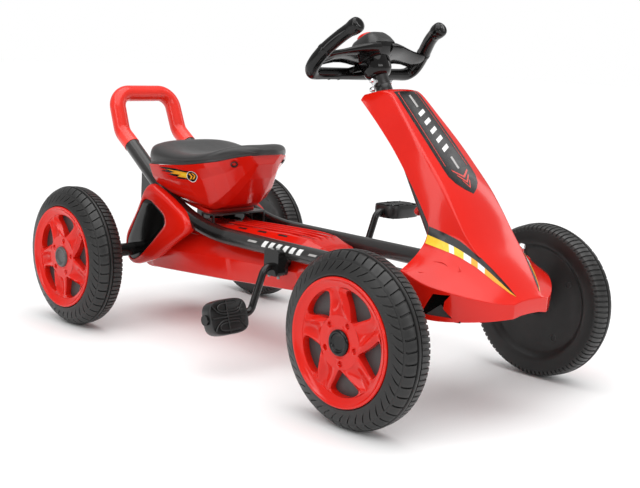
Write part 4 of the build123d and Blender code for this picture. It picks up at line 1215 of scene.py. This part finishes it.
TUNNEL = [
    (46, (0, 171.4), (30, 171.2), (47, 170.4), (55.6, 168.4)),
    (100, (0, 186.4), (31, 185), (50, 178), (55.8, 168.4)),
    (166, (0, 190.6), (32, 189), (51, 182), (55.8, 168.4)),
    (252, (0, 195.4), (33, 193.8), (51, 184), (55.8, 168.4)),
    (349, (0, 199.6), (33, 198), (51, 186), (55.8, 168.4)),
    (402, (0, 198.8), (32, 197.2), (50, 186), (55.8, 168.4)),
    (431, (0, 190.4), (27, 188.6), (44, 182), (54, 168.4)),
    (441, (0, 183), (23, 181.4), (38, 176), (49, 168.4)),
]


TUNNEL_RIB = [(190, 194, 0.5), (215, 195, 1.5), (300, 198, 1.6), (380, 200, 1.5), (412, 198, 0.5)]


def case_shell(name, stations, from_middle):
    """A skin through sections whose left half starts at the middle, or else at the top edge."""
    rows = []
    for distance, *half in stations:
        y = ahead(distance)
        left = [(x, y, z) for x, z in half]
        right = [(-x, y, z) for x, z in reversed(half) if x > 0]
        rows.append(right + left if from_middle else left + right)
    points, faces = grid(rows)
    width = len(rows[0])
    faces += [tuple(range(width)), tuple(reversed(range(len(points) - width, len(points))))]
    obj = build(name, points, faces, RED)
    soften(obj, 1.6, 3, 6)
    return apply_modifiers(obj, 60)


def make_case():
    belly = case_shell("chain_case_belly", BELLY, False)
    fit_out(belly, "frame", "red_plastic", "chain_case_lower")
    tunnel = case_shell("chain_case_tunnel", TUNNEL, True)
    fit_out(tunnel, "frame", "red_plastic", "chain_case_upper")
    skin = surface_of(tunnel)
    for index, x in enumerate((-22, -7.5, 7.5, 22)):
        path = [(x, ahead(distance), z, radius) for distance, z, radius in TUNNEL_RIB]
        relief(f"tunnel_rib_{index + 1}", path, skin, 1.0)
    # Flat black sheets laid on the tunnel: painted shade standing in for the dark inside of slots.
    for index, x in enumerate((-38, 38)):
        for place in range(3):
            start, end = ahead(232 + 52 * place), ahead(254 + 52 * place)
            points = [(x - 2.5, start, 197), (x + 2.5, start, 197), (x + 2.5, end, 197), (x - 2.5, end, 197)]
            slot_shade_sheet = build(f"tunnel_slot_painted_shade_{index * 3 + place + 1}", points, [(0, 1, 2, 3)], BLACK_SATIN)
            laid_on(slot_shade_sheet, skin, 0.25)
            fit_out(slot_shade_sheet, "frame", "red_plastic")


# ------------------------------------------------------------------ steering wheel, in the column's own mm

# Half of the rim, from the tip of a grip to the middle of the bottom bar: (x, y, z, radius).
GRIP = [
    (91, -75.2, 371.8, 3.6), (91, -74.6, 371.8, 8.4), (91.2, -72.2, 371.7, 11.0), (91.6, -68.6, 371.6, 12.0),
    (92.4, -62.6, 371.5, 12.0), (93.6, -57.2, 371.2, 11.0), (95, -52, 371.0, 10.2), (99.5, -37, 369, 10.1),
    (108, -14, 363, 10.4), (112, 4, 357, 10.6), (112.6, 16, 352.6, 10.6), (110.5, 25, 349.4, 10.4),
    (104, 32, 347.4, 10.0), (94, 34, 347, 9.6), (78, 34, 347, 9.2), (40, 34, 347, 9.2), (0, 34, 347, 9.4),
]


def oval(centre, half_y, half_z, power, count=28):
    """A rounded-square ring in the plane across X."""
    x, y, z = centre
    ring = []
    for index in range(count):
        angle = 2 * math.pi * index / count
        c, s = math.cos(angle), math.sin(angle)
        ring.append((x, y + half_y * math.copysign(abs(c) ** (2 / power), c),
                     z + half_z * math.copysign(abs(s) ** (2 / power), s)))
    return ring


def rounded_box(half_x, half_y, power, z, count=72):
    """A rounded-square ring in the plane across Z."""
    return [(y, depth, height) for height, y, depth in oval((z, 0, 0), half_x, half_y, power, count)]


def capped(rows):
    """A closed skin through rings."""
    points, faces = grid(rows, wrap_columns=True)
    width = len(rows[0])
    faces.append(tuple(range(width)))
    faces.append(tuple(reversed(range(len(points) - width, len(points)))))
    return points, faces


def turned_up(mesh):
    """A shape drawn along X stood up along the column."""
    points, faces = mesh
    return [(-y, z, x) for x, y, z in points], faces


def round_solid(profile):
    """A closed round shape along the column, from (height, radius)."""
    return turned_up(capped([oval((z, 0, 0), radius, radius, 2.0, 48) for z, radius in profile]))


def facing(spot, towards):
    """A place on the column's parts with X turned towards a direction."""
    turn = Vector(towards).to_track_quat("X", "Z").to_matrix().to_4x4()
    return COLUMN @ Matrix.Translation(Vector(spot) * MM) @ turn


def make_wheel_rim():
    path = smooth_path(GRIP, 5)
    other = [(-x, y, z, r) for x, y, z, r in reversed(path)][1:]
    rim = build("steering_rim", *moved(tube(path + other, 32), COLUMN), BLACK_GLOSS, smooth=60)
    fit_out(rim, "steering", "gloss_black_plastic", "steering_wheel")
    seam = [(108.6, -12, 362.4, 10.9), (109.2, -10.4, 361.9, 11.1), (109.8, -8.6, 361.3, 11.1),
            (110.3, -7, 360.8, 10.9)]
    hole = turned([(0.3, 2.6), (0.4, 1.7), (-0.4, 1.6), (-0.4, 0)], 0.2, 2, 20)
    holes = [(91.8, -66, 360.2, (0, 0.1, -1)), (70, 37, 338.4, (0, 0.3, -1)), (50, 37, 338.4, (0, 0.3, -1))]
    for side, hand in ((1, "left"), (-1, "right")):
        ring = [(side * x, y, z, radius) for x, y, z, radius in seam]
        collar = build(f"grip_collar_{hand}", *moved(tube(ring, 32), COLUMN), BLACK_GLOSS, smooth=40)
        fit_out(collar, "steering", "gloss_black_plastic")
        for number, (x, y, z, towards) in enumerate(holes):
            spot = facing((side * x, y, z), towards)
            screw = build(f"rim_hole_{number + 1}_{hand}", *moved(hole, spot), BLACK_SATIN)
            fit_out(screw, "steering", "gloss_black_plastic")


def make_wheel_body():
    """Hub, wing-shaped spokes, dome and collar."""
    spoke = [(12, -4, 361, 31, 9.5, 3.0), (28, -4, 361, 29, 9.0, 3.0), (44, -4, 360.5, 25, 7.4, 2.8),
             (60, -3, 359.5, 21, 6.0, 2.6), (76, -1, 358.2, 18.5, 5.4, 2.4), (92, 2, 356.8, 18.5, 5.8, 2.4),
             (104, 4, 356, 20, 6.6, 2.2), (109, 4, 356, 17, 6.0, 2.2)]
    brace = [(8, 24, 351, 9, 6, 2.6), (22, 27, 349.5, 7.5, 5.5, 2.6), (34, 31, 348, 6, 5.5, 2.4),
             (46, 33, 347.4, 4, 5, 2.2)]
    pieces = []
    for side in (-1, 1):
        for arm in (spoke, brace):
            pieces.append(capped([oval((side * x, y, z), half_y, half_z, power)
                                  for x, y, z, half_y, half_z, power in arm]))
    levels = [(350, 22, 2.6, -1), (353, 26, 2.8, -1), (357, 29.5, 3.0, -2), (362, 31.5, 3.2, -3),
              (366.4, 31.5, 3.4, -4)]
    pieces.append(turned_up(capped([oval((z, 0, shift), r, r, p, 48) for z, r, p, shift in levels])))
    dome = [(324, 13.5), (325.2, 16.6), (328.6, 19.8), (334, 22.2), (341, 23.4), (349, 23.8), (356, 23.8)]
    pieces.append(round_solid(dome))
    body = build("steering_body", *moved(merged(*pieces), COLUMN), BLACK_GLOSS, smooth=45)
    fit_out(body, "steering", "gloss_black_plastic", "steering_wheel")
    collar = [(297, 12.0), (297.6, 12.6), (308, 12.6), (308.6, 12.2), (309.4, 12.2), (310, 12.6), (326, 12.8)]
    sleeve = build("steering_collar", *moved(round_solid(collar), COLUMN), BLACK_SATIN, smooth=45)
    fit_out(sleeve, "steering", "gloss_black_plastic", "steering_wheel")


def make_clamp():
    """A bright strap and two acorn nuts on the steering collar."""
    strap = [(-15.5, 8, 304, 1.6), (-16.5, 6, 308, 2.4), (-16.5, 3, 316, 2.4), (-15.5, 1, 322, 1.8)]
    clamp = build("collar_strap", *moved(tube(smooth_path(strap, 6), 16, 0.7), COLUMN), CHROME, smooth=50)
    fit_out(clamp, "steering", "chrome")
    acorn = turned([(0, 0.0), (0, 4.6), (3.4, 4.4), (6.2, 2.8), (7.0, 0.0)], 0.9, 3, 24)
    for number, (y, z) in enumerate(((7, 306.5), (2, 319.5))):
        spot = facing((-15.5, y, z), (-1, 0.1, 0))
        nut = build(f"collar_nut_{number + 1}", *moved(acorn, spot), CHROME, smooth=50)
        fit_out(nut, "steering", "chrome")


def make_housing():
    """The trapezoid cover round the horn button."""
    levels = [(366.4, 30, 31, 4.0), (370, 29.6, 30.4, 4.0), (378, 26.5, 28, 4.0), (384.5, 22.5, 24.5, 4.0),
              (387, 20.6, 22.6, 3.8), (388, 18.4, 20.4, 3.6), (388, 15.0, 16.4, 2.4), (387.4, 14.5, 14.5, 2.0),
              (382, 14.5, 14.5, 2.0)]
    rows = []
    for z, half_x, half_y, power in levels:
        shift = -4 * min(1.0, (power - 2) / 1.6)
        ring = rounded_box(half_x, half_y, power, z, 64)
        rows.append([(x, y + shift, height) for x, y, height in ring])
    cover = build("horn_housing", *moved(grid(rows, wrap_columns=True), COLUMN), BLACK_SATIN, smooth=35)
    fit_out(cover, "steering", "gloss_black_plastic", "wheel_hub_cover")
    button = [(379.2, 13.6), (386, 13.9), (391.4, 13.9), (393.8, 13.2), (395.2, 11.4), (395.9, 8.4), (396, 4.0)]
    cap = build("horn_cap", *moved(round_solid(button), COLUMN), RED, smooth=50)
    fit_out(cap, "horn", "red_plastic", "horn_button")


def make_horn_spring():
    """The coil spring under the horn button."""
    middle_height = (COLUMN.inverted() @ middle("horn_spring")).z / MM
    height, wire, radius, turns, steps = 6.0, 0.6, 8.0, 2, 64
    path = []
    for index in range(steps + 1):
        share = index / steps
        angle = 2 * math.pi * turns * share
        rise = middle_height + (share - 0.5) * (height - 2 * wire)
        path.append((radius * math.cos(angle), radius * math.sin(angle), rise, wire))
    spring = build("horn_coil", *moved(tube(path, 10), COLUMN), STEEL, smooth=60)
    fit_out(spring, "steering", "steel", "horn_spring")
    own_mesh(spring)


# ------------------------------------------------------------------ pedals

def pedal_rib(path, face):
    """A rib standing on a face of the pedal."""
    points = [(x, y, face * 10.6, 1.25) for x, y in path]
    return tube(smooth_path(points, 4), 10)


SIDE_RIBS = [
    [(-18, 21), (8, 21), (19, 18), (19, 12), (8, 9), (-14, 9), (-20, 12)],
    [(-30, 20), (-24, 13), (-16, 5.4), (12, 5.4), (24, 12), (30, 20)],
    [(-29, 9), (-24, 8), (-23, 3)],
]


def pedal_mesh():
    half = [(33.6, 24.6, 4.0, 9.4), (35.6, 26.6, 3.8, 10.8), (36.6, 27.4, 3.6, 9.4), (37, 28, 3.6, 4)]
    lower = [rounded_box(half_x, half_y, power, -z) for half_x, half_y, power, z in half]
    upper = [rounded_box(half_x, half_y, power, z) for half_x, half_y, power, z in reversed(half)]
    body = capped(lower + upper)
    ribs = []
    for face in (-1, 1):
        ribs.append(pedal_rib([(-33, 0), (-11, 0), (11, 0), (33, 0)], face))
        ribs.append(pedal_rib([(3, -25), (3, -8), (3, 8), (3, 25)], face))
        for flip in (-1, 1):
            ribs += [pedal_rib([(x, y * flip) for x, y in path], face) for path in SIDE_RIBS]
    return merged(body, *ribs)


def make_pedals():
    mesh = pedal_mesh()
    for side, hand, tilt in ((1, "left", 0.0), (-1, "right", 72.0)):
        centre = middle(f"pedal_{hand}")
        spot = Matrix.Translation(centre) @ Matrix.Rotation(math.radians(tilt), 4, "X")
        if side < 0:
            spot = spot @ Matrix.Scale(-1, 4, (1, 0, 0))
        pedal = build(f"pedal_{hand}_look", *moved(mesh, spot), BLACK_SATIN, smooth=45)
        fit_out(pedal, f"pedal_{hand}", "gloss_black_plastic", f"pedal_{hand}")


# ------------------------------------------------------------------ rail graphics

FILM_LIFT = 0.12


def rail_patch(name, y0, y1, low, high, lean, film, side):
    """A strip on the outer side of a rail, between two angles above the level."""
    reach = RAIL_RADIUS + FILM_LIFT
    rows = []
    for step in range(9):
        angle = math.radians(low + (high - low) * step / 8)
        start = y0 + lean * step / 8
        x = side * (RAIL_X + reach * math.cos(angle))
        z = RAIL_Z + reach * math.sin(angle)
        rows.append([(x, start + (y1 - y0) * s / 4, z) for s in range(5)])
    obj = build(name, *grid(rows), film)
    if obj.data.polygons[0].normal.x * side < 0:
        obj.data.flip_normals()
    fit_out(obj, "frame", "frame_black")


def make_rail_graphics():
    for side, hand in ((1, "left"), (-1, "right")):
        rail_patch(f"rail_dash_rear_{hand}", 12, 33, 16, 30, -3, FILM_GREY, side)
        rail_patch(f"rail_dash_front_{hand}", -129, -112, 16, 30, -3, FILM_GREY, side)
        for index in range(6):
            start = -12 - 16.5 * index
            rail_patch(f"rail_bar_{index + 1}_{hand}", start, start + 9.5, 2, 46, -5, FILM_WHITE, side)


# ------------------------------------------------------------------ finishes of the kept CAD nodes

SLOT_FINISH = {
    "frame_black": FRAME_BLACK,
    "hoop_red": HOOP_RED,
    "red_plastic": RED,
    "seat_black": VINYL,
    "gloss_black_plastic": BLACK_GLOSS,
    "hub_cap_black": GREY_CAP,
    "tyre_black": TYRE,
    "nylon": NYLON,
    "chrome": CHROME,
    "steel": STEEL,
}


def finish_nodes():
    for entry in frame["record"]["subparts"]:
        node = frame["nodes"][entry["node"]]
        node.data.materials.clear()
        node.data.materials.append(SLOT_FINISH[entry["material_slot"]])


fairing, fairing_skin = make_fairing()
cut_intakes(fairing)
make_intakes()
make_hood_shield()
make_wing_stripes()
make_fairing_relief()
make_hood_knob()
seat, seat_skin = make_seat_shell()
make_pad()
make_seat_stickers(seat_skin)
make_pods()
make_case()
make_wheel_rim()
make_wheel_body()
make_housing()
make_horn_spring()
make_clamp()
make_pedals()
make_rail_graphics()
finish_nodes()


# ------------------------------------------------------------------ camera, light and floor

CAMERA_SPOT = (-1.2648, -1.34825, 0.5113)
CAMERA_AZIMUTH = -44.2379
CAMERA_ELEVATION = 10.1741
CAMERA_ROLL = 2.4856
CAMERA_LENS = 63.207
FLOOR_SIZE = 30
FLOOR_DROP = 0.0006


def make_camera():
    data = bpy.data.cameras.new("camera")
    data.lens = CAMERA_LENS
    data.sensor_width = 36.0
    data.sensor_fit = "HORIZONTAL"
    camera = bpy.data.objects.new("camera", data)
    bpy.context.scene.collection.objects.link(camera)
    azimuth, elevation = math.radians(CAMERA_AZIMUTH), math.radians(CAMERA_ELEVATION)
    back = Vector((math.sin(azimuth) * math.cos(elevation), -math.cos(azimuth) * math.cos(elevation),
                   math.sin(elevation)))
    right = (-back).cross(Vector((0, 0, 1))).normalized()
    up = right.cross(-back)
    roll = math.radians(CAMERA_ROLL)
    turned_right = right * math.cos(roll) + up * math.sin(roll)
    turned_up = up * math.cos(roll) - right * math.sin(roll)
    rotation = Matrix((turned_right, turned_up, back)).transposed().to_4x4()
    camera.matrix_world = Matrix.Translation(CAMERA_SPOT) @ rotation
    bpy.context.scene.camera = camera


def make_floor():
    n = Nodes("pale_floor")
    n.colour(n.drift(3.0, 4.0, (0.90, 0.90, 0.90), (0.87, 0.87, 0.87)))
    n.roughness(0.5, 0.6, 12.0, 4.0)
    bpy.ops.mesh.primitive_plane_add(size=FLOOR_SIZE, location=(0, 0, -FLOOR_DROP))
    floor = bpy.context.object
    floor.name = "floor"
    floor.data.materials.append(n.material)


def make_light(name, spot, target, size, power):
    data = bpy.data.lights.new(name, "AREA")
    data.shape = "RECTANGLE"
    data.size, data.size_y = size
    data.energy = power
    light = bpy.data.objects.new(name, data)
    bpy.context.scene.collection.objects.link(light)
    light.location = spot
    light.rotation_euler = (Vector(target) - Vector(spot)).to_track_quat("-Z", "Y").to_euler()


def make_world():
    """White to the eye, softer as a light, so that glossy black keeps its depth."""
    world = bpy.data.worlds.new("studio")
    bpy.context.scene.world = world
    world.use_nodes = True
    tree = world.node_tree
    tree.nodes.clear()
    seen = tree.nodes.new("ShaderNodeBackground")
    lighting = tree.nodes.new("ShaderNodeBackground")
    for background, strength in ((seen, 1.0), (lighting, 0.5)):
        background.inputs["Color"].default_value = (1.0, 1.0, 1.0, 1.0)
        background.inputs["Strength"].default_value = strength
    path = tree.nodes.new("ShaderNodeLightPath")
    mix = tree.nodes.new("ShaderNodeMixShader")
    output = tree.nodes.new("ShaderNodeOutputWorld")
    tree.links.new(path.outputs["Is Camera Ray"], mix.inputs["Fac"])
    tree.links.new(lighting.outputs["Background"], mix.inputs[1])
    tree.links.new(seen.outputs["Background"], mix.inputs[2])
    tree.links.new(mix.outputs["Shader"], output.inputs["Surface"])


def make_sun():
    """An even overhead light with wide, soft shadows."""
    data = bpy.data.lights.new("overhead", "SUN")
    data.energy = 2.5
    data.angle = math.radians(80)
    light = bpy.data.objects.new("overhead", data)
    bpy.context.scene.collection.objects.link(light)
    light.rotation_euler = (math.radians(8), math.radians(-10), 0)


def make_lights():
    make_world()
    make_sun()
    make_light("top_softbox", (0.3, -0.2, 2.4), (0, 0, 0.2), (1.6, 2.0), 5)
    make_light("near_strip", (-2.3, 0.2, 1.5), (0, 0, 0.2), (0.6, 2.2), 11)
    make_light("front_strip", (-0.6, -2.6, 1.2), (0, 0, 0.25), (1.6, 0.5), 10)
    make_light("far_strip", (2.4, -0.6, 1.6), (0, 0, 0.2), (0.5, 2.0), 6)


bpy.context.scene.view_settings.view_transform = "Standard"
make_camera()
make_floor()
make_lights()
